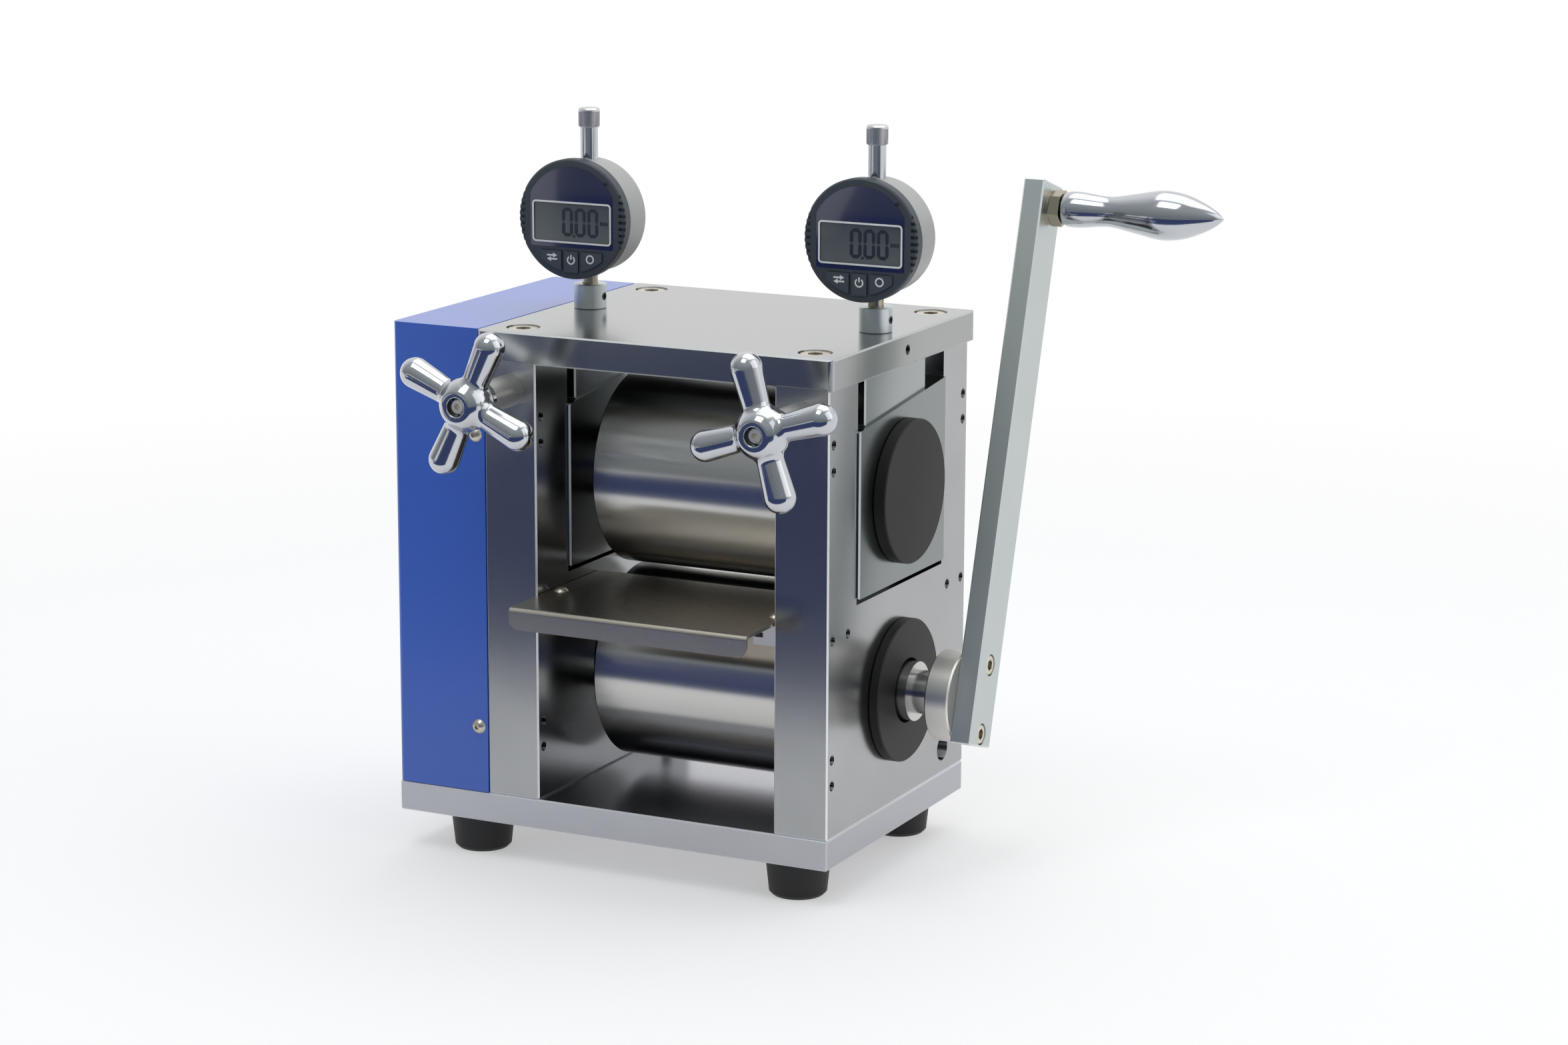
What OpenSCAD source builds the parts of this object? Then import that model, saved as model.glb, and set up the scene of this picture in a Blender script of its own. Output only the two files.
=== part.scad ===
// Hand-cranked bench calender: two steel rolls in a plate frame, geared together,
// with wedge-set roll gap and a digital indicator over each end of the upper roll.
// Millimetres. The rubber feet stand on z = 0, the crank points to +x, the back is +y.

/* [Frame plates] */
// Thickness of the base plate
base_t = 15.5; // [12:0.5:20]
// Thickness of the two side plates
side_t = 29; // [27:0.5:34]
// Thickness of the top plate
top_t = 15.5; // [14:0.5:20]
// Front post of a side plate, measured along y
post_front = 32; // [30:0.5:38]
// Rear post of a side plate, measured along y
post_rear = 30; // [28:0.5:38]
// Width of the slot that guides a bearing block
slot_w = 102; // [98:1:112]
// Overhang of the top plate past the side plates' outer faces
top_over_x = 3; // [1:0.5:5]
// Overhang of the top plate past the posts, front and back
top_over_y = 2.2; // [1:0.1:4]
// Depth of the seat milled for each side plate in the top plate
seat_deep = 1.2; // [0.6:0.1:2]
// Corner radius of the top plate
top_corner_r = 3; // [1:0.5:5]
// Broken edge on the machined plates
edge_break = 0.8; // [0.3:0.1:1.2]

/* [Rolls] */
// Diameter of both rolls
roll_d = 100; // [96:1:104]
// Face length of both rolls
roll_l = 105; // [90:1:130]
// Space between a roll's end and the side plate
roll_side_gap = 13.25; // [10:0.25:18]
// Open gap between the rolls at rest
roll_gap = 2; // [1.9:0.05:2.4]
// Height of the lower roll's axis above the base plate
lower_axis_h = 57.5; // [54:0.5:64]
// Journal diameter in the bearings
journal_d = 30; // [28:1:30]
// Shoulder between roll and journal
neck_d = 38; // [36:1:38]
// Chamfer on the roll ends
roll_chamfer = 1; // [0.5:0.25:2]

/* [Bearings and blocks] */
// Outer diameter of the ball bearings
bearing_d = 62; // [62:1:64]
// Width of the ball bearings
bearing_w = 16; // [15:0.5:17]
// Wall left as the bearing's shoulder
shoulder_t = 4; // [3:0.5:5]
// Flange diameter of the bearing caps
cap_d = 72.5; // [70:0.5:76]
// Flange thickness of the lower caps
lower_cap_t = 5.3; // [4:0.1:6]
// Flange thickness of the upper caps
upper_cap_t = 6.6; // [5:0.1:7.5]
// How far a bearing block stands proud of the side plate's faces
block_proud = 1.5; // [0.5:0.1:2]
// Height of the slot's floor above the lower axis
slot_rise = 54; // [50:0.5:54]
// Space left under a bearing block
lift_gap = 2.8; // [2.6:0.1:3.4]
// Height of a block's top above the upper axis, over the roll
block_rise = 43.7; // [42:0.1:48]

/* [Gap adjustment] */
// Rise of the wedge for each millimetre of length
wedge_slope_share = 0.11; // [0.1:0.005:0.12]
// Thickness of a wedge above the roll's axis
wedge_t = 20.5; // [20:0.5:24]
// Length of a wedge
wedge_l = 71; // [68:0.5:72]
// Front end of a wedge, behind the slot's front wall
wedge_set = 8.6; // [8.2:0.1:9]
// Height of the adjusting screw above the wedge's underside, over the roll
screw_rise = 5.3; // [5:0.1:8]
// Shank diameter of an adjusting screw
shank_d = 16; // [14:0.5:16]
// Thread diameter of an adjusting screw
thread_d = 10; // [8:0.5:10]
// Distance from the frame's front to the knob's centre
knob_reach = 41.5; // [36:0.5:50]
// Ball diameter of a knob
knob_ball_d = 27; // [25:0.5:30]
// Distance from a knob's centre to the tips of its arms
knob_arm_l = 39; // [34:0.5:44]
// Arm diameter at the knob's ball
knob_arm_root_d = 11.5; // [10:0.5:12]
// Arm diameter near its tip
knob_arm_tip_d = 15.5; // [13:0.5:17]
// Turn of the right knob at rest, in degrees
knob_right_turn = 16.5; // [0:0.5:90]
// Turn of the left knob at rest, in degrees
knob_left_turn = -24.5; // [-90:0.5:0]

/* [Gears and cover] */
// Width of the gear cover
cover_w = 52.5; // [50:0.5:60]
// Sheet thickness of the gear cover
sheet_t = 1.5; // [1:0.1:2]
// Number of teeth on each gear
gear_teeth = 25; // [25:1:25]
// Face width of the gears
gear_face = 20; // [16:0.5:21]
// Bore of the gears
gear_bore = 25; // [22:0.5:26]

/* [Crank] */
// Distance from the crankshaft to the handle
crank_r = 248; // [200:1:280]
// Width of the crank arm
arm_w = 26; // [22:0.5:32]
// Thickness of the crank arm
arm_t = 11; // [9:0.5:14]
// Arm left below the crankshaft's centre
arm_tail = 23.5; // [22:0.5:30]
// Arm left above the handle's centre
arm_head = 12.5; // [11:0.5:16]
// Lean of the crank arm at rest, in degrees
arm_lean = 17.2; // [0:0.1:30]
// Diameter of the crank hub
hub_d = 46; // [44:0.5:52]
// Thickness of the crank hub
hub_t = 12.7; // [11:0.1:16]
// Distance from the side plate to the crank hub
hub_reach = 23.8; // [18:0.2:30]
// Shaft diameter in the crank hub
hub_bore = 22; // [18:0.5:22]
// Largest diameter of the handle
handle_d = 24.5; // [20:0.5:30]
// Length of the handle
handle_l = 84; // [70:1:110]

/* [Feed plates] */
// Sheet thickness of the feed plates
feed_t = 1.5; // [1:0.1:2]
// Reach of a feed plate past the frame
feed_reach = 29; // [20:0.5:40]
// Depth of a feed plate's bent lip
feed_lip = 11; // [8:0.5:14]
// Height of the lower roll's top above the feed plates
feed_drop = 1.5; // [1:0.1:3]
// Gap between a feed plate and the lower roll
feed_roll_gap = 3; // [2:0.5:5]
// Width of a feed plate's bracket
bracket_w = 11.5; // [10.5:0.5:14]
// Height of a bracket
bracket_h = 10; // [9.5:0.5:12]

/* [Indicators] */
// How far the turning face's rim stands out past the case
face_over = 1.5; // [1:0.1:3]
// Depth of the turning face
face_t = 7; // [6:0.5:9]
// Diameter of the case
case_d = 58; // [54:0.5:60]
// Depth of the case behind the face
case_t = 19; // [16:0.2:20]
// Height of the case's centre above the top plate
case_rise = 47.5; // [46:0.5:54]
// Stem diameter
stem_d = 8; // [7:0.5:8]
// Spindle diameter
spindle_d = 4.4; // [4:0.1:4.6]
// Diameter of the clamp collar on the top plate
collar_d = 16.6; // [15:0.1:20]
// Height of the clamp collar above the top plate
collar_h = 12.6; // [11:0.1:14]
// Length of the tube above the case
tube_l = 16; // [14:0.5:20]
// Height of the cap on the tube
dust_cap_h = 9.6; // [8:0.1:12]

/* [Feet] */
// Height of the rubber feet
foot_h = 20; // [18:0.5:25]
// Foot diameter at the base plate
foot_top_d = 36; // [32:0.5:40]
// Foot diameter at the floor
foot_floor_d = 29; // [26:0.5:32]
// Feet from the left edge of the base plate
foot_in_left = 36; // [22:1:40]
// Feet from the right edge of the base plate
foot_in_right = 26; // [20:1:30]
// Feet from the front and back edges
foot_in_y = 22; // [20:0.5:26]

/* [Hidden] */
$fn = 72;

// Overrun of every cut
over = 1;
// Radial fit of a part pressed or screwed into its seat
seat_fit = 0.02;
// Radial clearance of a running fit
run_fit = 0.05;
// Clearance between flat sliding faces
slide_gap = 0.08;

// Frame, from left to right
inner_w = roll_l + 2 * roll_side_gap;
left_x = cover_w;
left_in = left_x + side_t;
right_in = left_in + inner_w;
right_x = right_in + side_t;
left_mid = left_x + side_t / 2;
right_mid = right_x - side_t / 2;
mid_x = (left_in + right_in) / 2;
frame_d = post_front + slot_w + post_rear;
roll_y = post_front + slot_w / 2;
slot_front = post_front;
slot_back = post_front + slot_w;

// Frame, from the floor up
base_top = foot_h + base_t;
lower_z = base_top + lower_axis_h;
upper_z = lower_z + roll_d + roll_gap;
slot_z = lower_z + slot_rise;
block_z = slot_z + lift_gap;
block_top = upper_z + block_rise;
ceiling_z = block_top + wedge_t;
plate_z = ceiling_z - seat_deep;
top_z = plate_z + top_t;
screw_z = block_top + screw_rise;

// Screw threads, heads and sockets: thread, head diameter, head height, socket
small_screw = [4, 7, 4, 3];
bracket_screw = [5, 8.5, 5, 4];
arm_screw = [6, 10, 6, 5];
base_screw = [8, 13, 8, 6];
plate_screw = [10, 16, 7, 7];
button_screw = [4, 7.6, 2.2, 2.5];
head_gap = 0.5;
socket_share = 0.6;
head_edge_share = 0.05;
foot_screw_l = 16;
foot_web = 9;
base_screw_l = 20;
base_screw_pitch = 33;
plate_screw_l = 12.2;
plate_screw_in = 14.3;
button_screw_l = 8;

// Accessory holes in the side plates, measured from a post's outer face and the base
side_hole_r = 2.55;
side_hole_in = 5.2;
low_hole_h = 26.8;
low_hole_pitch = 13;
high_hole_in = 27.9;
high_hole_pitch = 13.2;
high_hole_h = ceiling_z - base_top - high_hole_in - high_hole_pitch;
pass_hole_r = 6.5;
pass_hole_in = 26;
pass_hole_h = 13;

// Bearings
shoulder_bore = 50;
ball_d = 9.5;
ball_pitch_d = 46;
ball_gap = 0.1;
ball_count = 9;
outer_land_d = 53;
inner_land_d = 39;
cage_w = 12.5;
cage_t = 3.6;
cap_bore = 33;
cap_chamfer = 0.6;
spigot_wall = 5;
left_bearing_x = left_in - shoulder_t - bearing_w;
right_bearing_x = right_in + shoulder_t;
spigot_l = side_t - shoulder_t - bearing_w;
crank_collar_l = 5;

// Gear train
pressure_angle = 20;
gear_module = roll_d / gear_teeth;
pitch_r = gear_module * gear_teeth / 2;
gear_base_r = pitch_r * cos(pressure_angle);
tip_r = pitch_r + gear_module;
root_share = 1.25;
root_r = pitch_r - root_share * gear_module;
backlash_deg = 0.2;
flank_steps = 4;
gear_clear = 2.4;
gear_x1 = left_x - block_proud - upper_cap_t - gear_clear;
gear_x0 = gear_x1 - gear_face;
gear_hub_d = 44;
gear_web_cut = 3;
gear_rim = 10;
washer_d = 32;
washer_t = 3;
gear_bolt_d = 8;
gear_bolt_head_w = 13;
gear_bolt_head_h = 5.5;
gear_bolt_l = 18;
key_w = 6;
key_l = 14;
shaft_short = 0.4;

// Gear cover
cover_gap = 0.3;
cover_bend_r = 2.5;
cover_screw_in = 5.6;
cover_low_h = 34;
cover_high_in = 53.6;
cover_high_h = top_z - base_top - cover_high_in;
lug_w = 11.3;
lug_d = 11;
lug_h = 13;

// Adjusting screws and knobs
collar_t = 5;
collar_over = 2;
collar_from_slot = 10;
ring_t = 1.2;
ring_groove = 1.2;
ring_bore = 12.5;
screw_tip_y = 66;
stub_d = 10;
knob_stub_l = 13;
knob_neck_d = 19;
knob_neck_l = 3.5;
knob_flat_d = 15;
knob_sink_d = 9.3;
knob_sink = 6;
wedge_gap = 0.05;
wedge_front = slot_front + wedge_set;
wedge_hole_l = 36;
close_travel = 18;
open_travel = 7.5;
spindle_slot_w = 6.4;

// Lift springs
spring_off = 36;
spring_pocket_d = 12.5;
spring_pocket = 14;
spring_recess = 4;
spring_d = 9;
spring_wire = 1.8;
spring_turns = 5;
spring_steps = 12;
spring_sides = 6;

// Feed plates
feed_z = lower_z + roll_d / 2 - feed_drop;
feed_side_gap = 0.5;
feed_bend_r = 2.5;
feed_corner_r = 5;
feed_h = feed_z - feed_t - lower_z;
feed_in = roll_y - sqrt(pow(roll_d / 2, 2) - pow(feed_h, 2)) - feed_roll_gap;
bracket_l = 28;
bracket_set = 0.6;
bracket_hole_a = 5.2;
bracket_hole_b = 22.5;
bracket_screw_l = 16;
bracket_z = feed_z - feed_t - bracket_h;

// Crank
hub_x = right_x + hub_reach;
arm_x = hub_x + hub_t;
arm_out = arm_x + arm_t;
hub_screw_r = 17.3;
hub_screw_l = 14;
arm_sink = 6.3;
handle_gap = 0.4;
spindle_hex = 16;
spindle_hex_t = 5.7;
spindle_flange_t = 1.5;
spindle_flange_d = 17.5;
spindle_thread_d = 10;
handle_axle_d = 8;
handle_axle_l = 58;
handle_bore_l = 60;
handle_x = arm_out + spindle_flange_t + spindle_hex_t + handle_gap;
handle_tip = handle_x + handle_l;
handle_station_shares = [0, 0.015, 0.05, 0.12, 0.285, 0.45, 0.615, 0.75, 0.86, 0.95, 1];
handle_radius_shares = [0.6, 0.68, 0.73, 0.72, 0.615, 0.8, 1, 0.91, 0.64, 0.31, 0];
handle_steps = 4;

// Indicators
case_z = top_z + case_rise;
face_front = 19;
face_y = roll_y - face_front;
case_y = face_y + face_t;
turn_gap = 0.2;
case_wall = 2.2;
face_d = case_d + 2 * face_over;
case_rim_r = 1;
tube_d = 9;
dust_cap_d = 10.8;
collar_spigot_d = 12;
stem_below = 1;
spindle_bore = 5;
spindle_top = 6;
seat_spot_d = 9;
seat_spot = 0.6;
contact_gap = 0.05;
face_wall = 2.2;
face_rim = 2.5;
face_chamfer = 0.8;
window_w = 44;
window_h = 20;
window_drop = 1.8;
window_frame = 1;
lens_sink = 0.5;
display_t = 4;
panel_r = 27;
button_top = 16.2;
button_half = 3.9;
button_split = 5.7;
button_side = 17.5;
button_out = 0.9;
button_gap = 0.2;
button_t = 4;
grip_count = 9;
grip_pitch = 3.3;
grip_h = 1.5;
grip_deep = 1.4;
grip_in = 3.6;

// The part's origin is on the floor, under the middle of its bounding box
knob_front = knob_reach + sqrt(pow(knob_ball_d, 2) - pow(knob_flat_d, 2)) / 2;
home_x = -handle_tip / 2;
home_y = -(frame_d + feed_reach - knob_front) / 2;

steel = "#a6a8b2";
bright = "#c9ccd2";
dark = "#3b3a39";
chrome = "#d8dade";
blue = "#2d55a8";

module home() {
    translate([home_x, home_y, 0])
        children();
}

// Local z points along x
module along_x(x, y, z) {
    translate([x, y, z])
        rotate([0, 90, 0])
            children();
}

// Local z points to the back
module along_y(x, y, z) {
    translate([x, y, z])
        rotate([-90, 0, 0])
            children();
}

// A rectangle with cut corners
module cut_rect(w, h, c) {
    polygon([
        [c, 0], [w - c, 0], [w, c], [w, h - c],
        [w - c, h], [c, h], [0, h - c], [0, c]
    ]);
}

// A machined block with all twelve edges broken
module machined_block(w, d, h, c) {
    intersection() {
        linear_extrude(h)
            cut_rect(w, d, c);
        translate([0, d, 0])
            rotate([90, 0, 0])
                linear_extrude(d)
                    cut_rect(w, h, c);
        rotate([90, 0, 90])
            linear_extrude(w)
                cut_rect(d, h, c);
    }
}

// A rectangle with round corners of radius r
module round_rect(w, h, r) {
    translate([r, 0])
        square([w - 2 * r, h]);
    translate([0, r])
        square([w, h - 2 * r]);
    for (x = [r, w - r], y = [r, h - r])
        translate([x, y])
            circle(r);
}

// A disc with chamfered edges
module turned_disc(d, h, c) {
    rotate_extrude()
        polygon([
            [0, 0], [d / 2 - c, 0], [d / 2, c], [d / 2, h - c],
            [d / 2 - c, h], [0, h]
        ]);
}

module tube(outer_d, inner_d, l) {
    difference() {
        cylinder(d = outer_d, h = l);
        translate([0, 0, -over])
            cylinder(d = inner_d, h = l + 2 * over);
    }
}

// A hexagon socket of a given key size, cut downwards from z = 0
module socket(key, deep) {
    translate([0, 0, -deep])
        cylinder(d = key / cos(30), h = deep + over, $fn = 6);
}

// A socket head screw: the head stands on z = 0, the thread runs down
module cap_screw(s, l) {
    edge = s[1] * head_edge_share;
    difference() {
        union() {
            turned_disc(s[1], s[2], edge);
            translate([0, 0, -l])
                cylinder(d = s[0], h = l);
        }
        translate([0, 0, s[2]])
            socket(s[3], s[2] * socket_share);
    }
}

// The hole for a cap screw, from its head down
module cap_screw_hole(s, sink, l) {
    translate([0, 0, -l])
        cylinder(d = s[0] + 2 * run_fit, h = l + over);
    cylinder(d = s[1] + 2 * head_gap, h = sink + over);
}

module tapped_hole(d, l) {
    translate([0, 0, -l])
        cylinder(d = d + 2 * run_fit, h = l + over);
}

// A button head screw: the dome stands on z = 0
module button_screw_solid(l) {
    r = button_screw[1] / 2;
    h = button_screw[2];
    dome_r = (r * r + h * h) / (2 * h);
    difference() {
        union() {
            intersection() {
                translate([0, 0, h - dome_r])
                    sphere(dome_r);
                cylinder(r = r, h = h);
            }
            translate([0, 0, -l])
                cylinder(d = button_screw[0], h = l);
        }
        translate([0, 0, h])
            socket(button_screw[3], h * socket_share);
    }
}

// A set screw with its socket towards +z
module set_screw_solid(d, l) {
    difference() {
        cylinder(d = d, h = l);
        translate([0, 0, l])
            socket(d / 2, l / 3);
    }
}

// Both ends of the frame, the second one mirrored about the frame's middle depth
module front_and_rear() {
    children();
    translate([0, frame_d, 0])
        mirror([0, 1, 0])
            children();
}

// Feet, base and fasteners
module foot_places() {
    for (x = [foot_in_left, right_x - foot_in_right])
        for (y = [foot_in_y, frame_d - foot_in_y])
            translate([x, y, 0])
                children();
}

module base_screw_places() {
    for (x = [left_mid, right_mid], i = [-1 : 1])
        translate([x, roll_y + i * base_screw_pitch, foot_h])
            rotate([180, 0, 0])
                children();
}

module base_plate() {
    sink = base_screw[2] + head_gap;
    color(steel)
        home()
            difference() {
                translate([0, 0, foot_h])
                    machined_block(right_x, frame_d, base_t, edge_break);
                foot_places()
                    translate([0, 0, foot_h + foot_screw_l - foot_web])
                        tapped_hole(bracket_screw[0], base_t);
                base_screw_places()
                    translate([0, 0, -sink])
                        cap_screw_hole(base_screw, sink, base_t);
            }
}

module rubber_feet() {
    r1 = foot_floor_d / 2;
    r2 = foot_top_d / 2;
    soft = (r2 - r1) / 2;
    sink_d = bracket_screw[1] + 4 * head_gap;
    color(dark)
        home()
            foot_places()
                difference() {
                    rotate_extrude() {
                        polygon([
                            [0, 0], [r1 - soft, 0], [r1, soft], [r2 - soft, foot_h - soft],
                            [r2, foot_h], [0, foot_h]
                        ]);
                    }
                    translate([0, 0, -over])
                        cylinder(d = sink_d, h = foot_h - foot_web + over);
                    cylinder(d = bracket_screw[0] + 2 * run_fit, h = foot_h + over);
                }
}

module foot_screws() {
    color(bright)
        home()
            foot_places()
                translate([0, 0, foot_h - foot_web])
                    rotate([180, 0, 0])
                        cap_screw(bracket_screw, foot_screw_l);
}

module side_plate_screws() {
    color(dark)
        home()
            base_screw_places()
                translate([0, 0, -base_screw[2] - head_gap])
                    cap_screw(base_screw, base_screw_l);
}

// Side plates: one shape, mirrored for the left side. Local x = 0 is the inner face
module side_holes() {
    for (h = [low_hole_h, low_hole_h + low_hole_pitch])
        translate([0, side_hole_in, base_top + h])
            children();
    for (h = [high_hole_h, high_hole_h + high_hole_pitch])
        translate([0, side_hole_in, base_top + h])
            children();
    for (y = [bracket_hole_a, bracket_hole_b])
        translate([0, y, bracket_z + bracket_h / 2])
            children();
}

module side_plate_solid() {
    h = ceiling_z - base_top;
    mid = side_t / 2;
    ring_y = slot_front - collar_from_slot + collar_t;
    difference() {
        translate([0, 0, base_top])
            machined_block(side_t, frame_d, h, edge_break);
        translate([-over, slot_front, slot_z])
            cube([side_t + 2 * over, slot_w, h]);
        along_x(shoulder_t, roll_y, lower_z)
            cylinder(d = bearing_d, h = side_t);
        along_x(-over, roll_y, lower_z)
            cylinder(d = shoulder_bore, h = side_t);
        front_and_rear()
            side_holes()
                along_x(-over, 0, 0)
                    cylinder(r = side_hole_r, h = side_t + 2 * over);
        along_x(-over, frame_d - pass_hole_in, base_top + pass_hole_h)
            cylinder(r = pass_hole_r, h = side_t + 2 * over);
        along_y(mid, -over, screw_z)
            cylinder(d = shank_d + 2 * run_fit, h = post_front + 2 * over);
        along_y(mid, slot_front - collar_from_slot, screw_z)
            cylinder(d = shank_d + 2 * collar_over + 4 * run_fit, h = collar_from_slot + over);
        along_y(mid, ring_y + 2 * slide_gap, screw_z)
            cylinder(d = shank_d + 2 * (collar_over + ring_groove), h = ring_t);
        for (s = [-1, 1])
            translate([mid, roll_y + s * spring_off, slot_z - spring_pocket])
                cylinder(d = spring_pocket_d, h = spring_pocket + over);
        for (i = [-1 : 1])
            translate([mid, roll_y + i * base_screw_pitch, base_top])
                cylinder(d = base_screw[0] + 2 * run_fit, h = base_screw_l);
        front_and_rear()
            translate([mid, plate_screw_in, ceiling_z])
                tapped_hole(plate_screw[0], plate_screw_l);
    }
}

module side_plate_right() {
    color(steel)
        home()
            translate([right_in, 0, 0])
                side_plate_solid();
}

module side_plate_left() {
    color(steel)
        home()
            translate([left_in, 0, 0])
                mirror([1, 0, 0])
                    side_plate_solid();
}

// Top plate with a milled seat over each side plate
module top_screw_places() {
    for (x = [left_mid, right_mid])
        front_and_rear()
            translate([x, plate_screw_in, top_z - plate_screw[2] - head_gap])
                children();
}

module top_plate() {
    w = right_x - left_x + 2 * top_over_x;
    d = frame_d + 2 * top_over_y;
    seat_w = side_t + 2 * seat_fit;
    set_z = top_z - top_t / 2;
    set_d = bracket_screw[0] + 2 * run_fit;
    set_l = side_t / 2 + top_over_x;
    color(bright)
        home()
            difference() {
                translate([left_x - top_over_x, -top_over_y, plate_z])
                    intersection() {
                        machined_block(w, d, top_t, edge_break);
                        linear_extrude(top_t)
                            round_rect(w, d, top_corner_r);
                    }
                for (x = [left_x - seat_fit, right_in - seat_fit])
                    translate([x, -top_over_y - over, plate_z - over])
                        cube([seat_w, d + 2 * over, seat_deep + over]);
                top_screw_places()
                    cap_screw_hole(plate_screw, plate_screw[2] + head_gap, top_t);
                for (x = [left_mid, right_mid])
                    translate([x, roll_y, plate_z - over])
                        cylinder(d = collar_spigot_d + 2 * seat_fit, h = top_t + 2 * over);
                along_x(left_x - top_over_x - over, roll_y, set_z)
                    cylinder(d = set_d, h = set_l + over);
                along_x(right_mid, roll_y, set_z)
                    cylinder(d = set_d, h = set_l + over);
            }
}

module top_plate_screws() {
    color(bright)
        home()
            top_screw_places()
                cap_screw(plate_screw, plate_screw_l);
}

// Sheet metal cover over the gears, open towards the side plate and at the bottom
module gear_cover() {
    w = left_x - cover_gap;
    notch_x = left_x - top_over_x - cover_gap;
    h = top_z - base_top;
    color(blue)
        home()
            difference() {
                translate([0, 0, base_top])
                    linear_extrude(h) {
                        round_rect(w - cover_bend_r, frame_d, cover_bend_r);
                        translate([cover_bend_r, 0])
                            square([w - cover_bend_r, frame_d]);
                    }
                translate([sheet_t, sheet_t, base_top - over])
                    cube([w, frame_d - 2 * sheet_t, h - sheet_t + over]);
                translate([notch_x, -over, plate_z - cover_gap])
                    cube([w, frame_d + 2 * over, top_t + 2 * over]);
                cover_screw_places()
                    tapped_hole(button_screw[0], lug_d);
            }
}

module cover_screw_places() {
    for (h = [cover_low_h, cover_high_h])
        front_and_rear()
            translate([left_x - cover_screw_in, 0, base_top + h])
                rotate([90, 0, 0])
                    children();
}

// Tapped lugs on the side plate that take the cover's screws
module cover_lugs() {
    color(steel)
        home()
            difference() {
                for (h = [cover_low_h, cover_high_h])
                    front_and_rear()
                        translate([left_x - lug_w, sheet_t, base_top + h - lug_h / 2])
                            cube([lug_w, lug_d, lug_h]);
                cover_screw_places()
                    tapped_hole(button_screw[0], lug_d);
            }
}

module feed_screw_places() {
    y = (bracket_hole_a + bracket_hole_b) / 2;
    for (x = [left_in + bracket_w / 2, right_in - bracket_w / 2])
        front_and_rear()
            translate([x, y, feed_z])
                children();
}

module button_head_screws() {
    color(bright)
        home() {
            cover_screw_places()
                button_screw_solid(button_screw_l);
            feed_screw_places()
                button_screw_solid(button_screw_l);
        }
}

// Bearing caps: flange on local z from 0 to t, spigot below it, for the right side
module bearing_cap(t, spigot, open) {
    difference() {
        union() {
            turned_disc(cap_d, t, cap_chamfer);
            translate([0, 0, -spigot])
                cylinder(d = bearing_d - 2 * seat_fit, h = spigot + t / 2);
        }
        translate([0, 0, -spigot - over])
            cylinder(d = bearing_d - 2 * spigot_wall, h = spigot + over);
        if (open)
            cylinder(d = cap_bore, h = 4 * t, center = true);
    }
}

module lower_bearing_caps() {
    color(dark)
        home() {
            along_x(right_x, roll_y, lower_z)
                bearing_cap(lower_cap_t, spigot_l, true);
            translate([left_x, roll_y, lower_z])
                rotate([0, -90, 0])
                    bearing_cap(lower_cap_t, spigot_l, true);
        }
}

module upper_bearing_caps() {
    color(dark)
        home() {
            along_x(right_x + block_proud, roll_y, upper_z)
                bearing_cap(upper_cap_t, spigot_l + block_proud, false);
            translate([left_x - block_proud, roll_y, upper_z])
                rotate([0, -90, 0])
                    bearing_cap(upper_cap_t, spigot_l + block_proud, true);
        }
}

// Ball bearings, drawn from local z = 0 to their width
module ball_track() {
    translate([0, 0, bearing_w / 2])
        rotate_extrude()
            translate([ball_pitch_d / 2, 0])
                circle(d = ball_d + 2 * ball_gap);
}

module outer_ring() {
    difference() {
        tube(bearing_d - 2 * seat_fit, outer_land_d, bearing_w);
        ball_track();
    }
}

module inner_ring() {
    difference() {
        tube(inner_land_d, journal_d + 2 * seat_fit, bearing_w);
        ball_track();
    }
}

module ball_places() {
    for (i = [0 : ball_count - 1])
        rotate([0, 0, i * 360 / ball_count])
            translate([ball_pitch_d / 2, 0, bearing_w / 2])
                children();
}

module ball_cage() {
    ball_places()
        sphere(d = ball_d);
    difference() {
        translate([0, 0, (bearing_w - cage_w) / 2])
            tube(ball_pitch_d + cage_t, ball_pitch_d - cage_t, cage_w);
        ball_places()
            rotate([0, 90, 0])
                cylinder(d = ball_d + 2 * ball_gap, h = 2 * ball_d, center = true);
    }
}

module both_bearings(z) {
    for (x = [left_bearing_x, right_bearing_x])
        along_x(x, roll_y, z)
            children();
}

module lower_outer_rings() {
    color(bright)
        home()
            both_bearings(lower_z)
                outer_ring();
}

module upper_outer_rings() {
    color(bright)
        home()
            both_bearings(upper_z)
                outer_ring();
}

module lower_inner_rings() {
    color(bright)
        home()
            both_bearings(lower_z)
                inner_ring();
}

module upper_inner_rings() {
    color(bright)
        home()
            both_bearings(upper_z)
                inner_ring();
}

module lower_ball_cages() {
    color(chrome)
        home()
            both_bearings(lower_z)
                ball_cage();
}

module upper_ball_cages() {
    color(chrome)
        home()
            both_bearings(upper_z)
                ball_cage();
}

// Rolls: one turned piece each, drawn along x as pairs of radius and place
function roll_outline(end_pairs) = concat(
    [
        [0, gear_x0 + shaft_short], [gear_bore / 2, gear_x0 + shaft_short],
        [gear_bore / 2, gear_x1], [journal_d / 2, gear_x1],
        [journal_d / 2, left_bearing_x + bearing_w], [neck_d / 2, left_bearing_x + bearing_w],
        [neck_d / 2, mid_x - roll_l / 2], [roll_d / 2 - roll_chamfer, mid_x - roll_l / 2],
        [roll_d / 2, mid_x - roll_l / 2 + roll_chamfer],
        [roll_d / 2, mid_x + roll_l / 2 - roll_chamfer],
        [roll_d / 2 - roll_chamfer, mid_x + roll_l / 2], [neck_d / 2, mid_x + roll_l / 2],
        [neck_d / 2, right_bearing_x], [journal_d / 2, right_bearing_x]
    ],
    end_pairs
);

module gear_end_cuts() {
    along_x(gear_x0 - over, 0, 0)
        cylinder(d = gear_bolt_d + 2 * run_fit, h = gear_bolt_l + 2 * over);
    gear_key();
}

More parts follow.
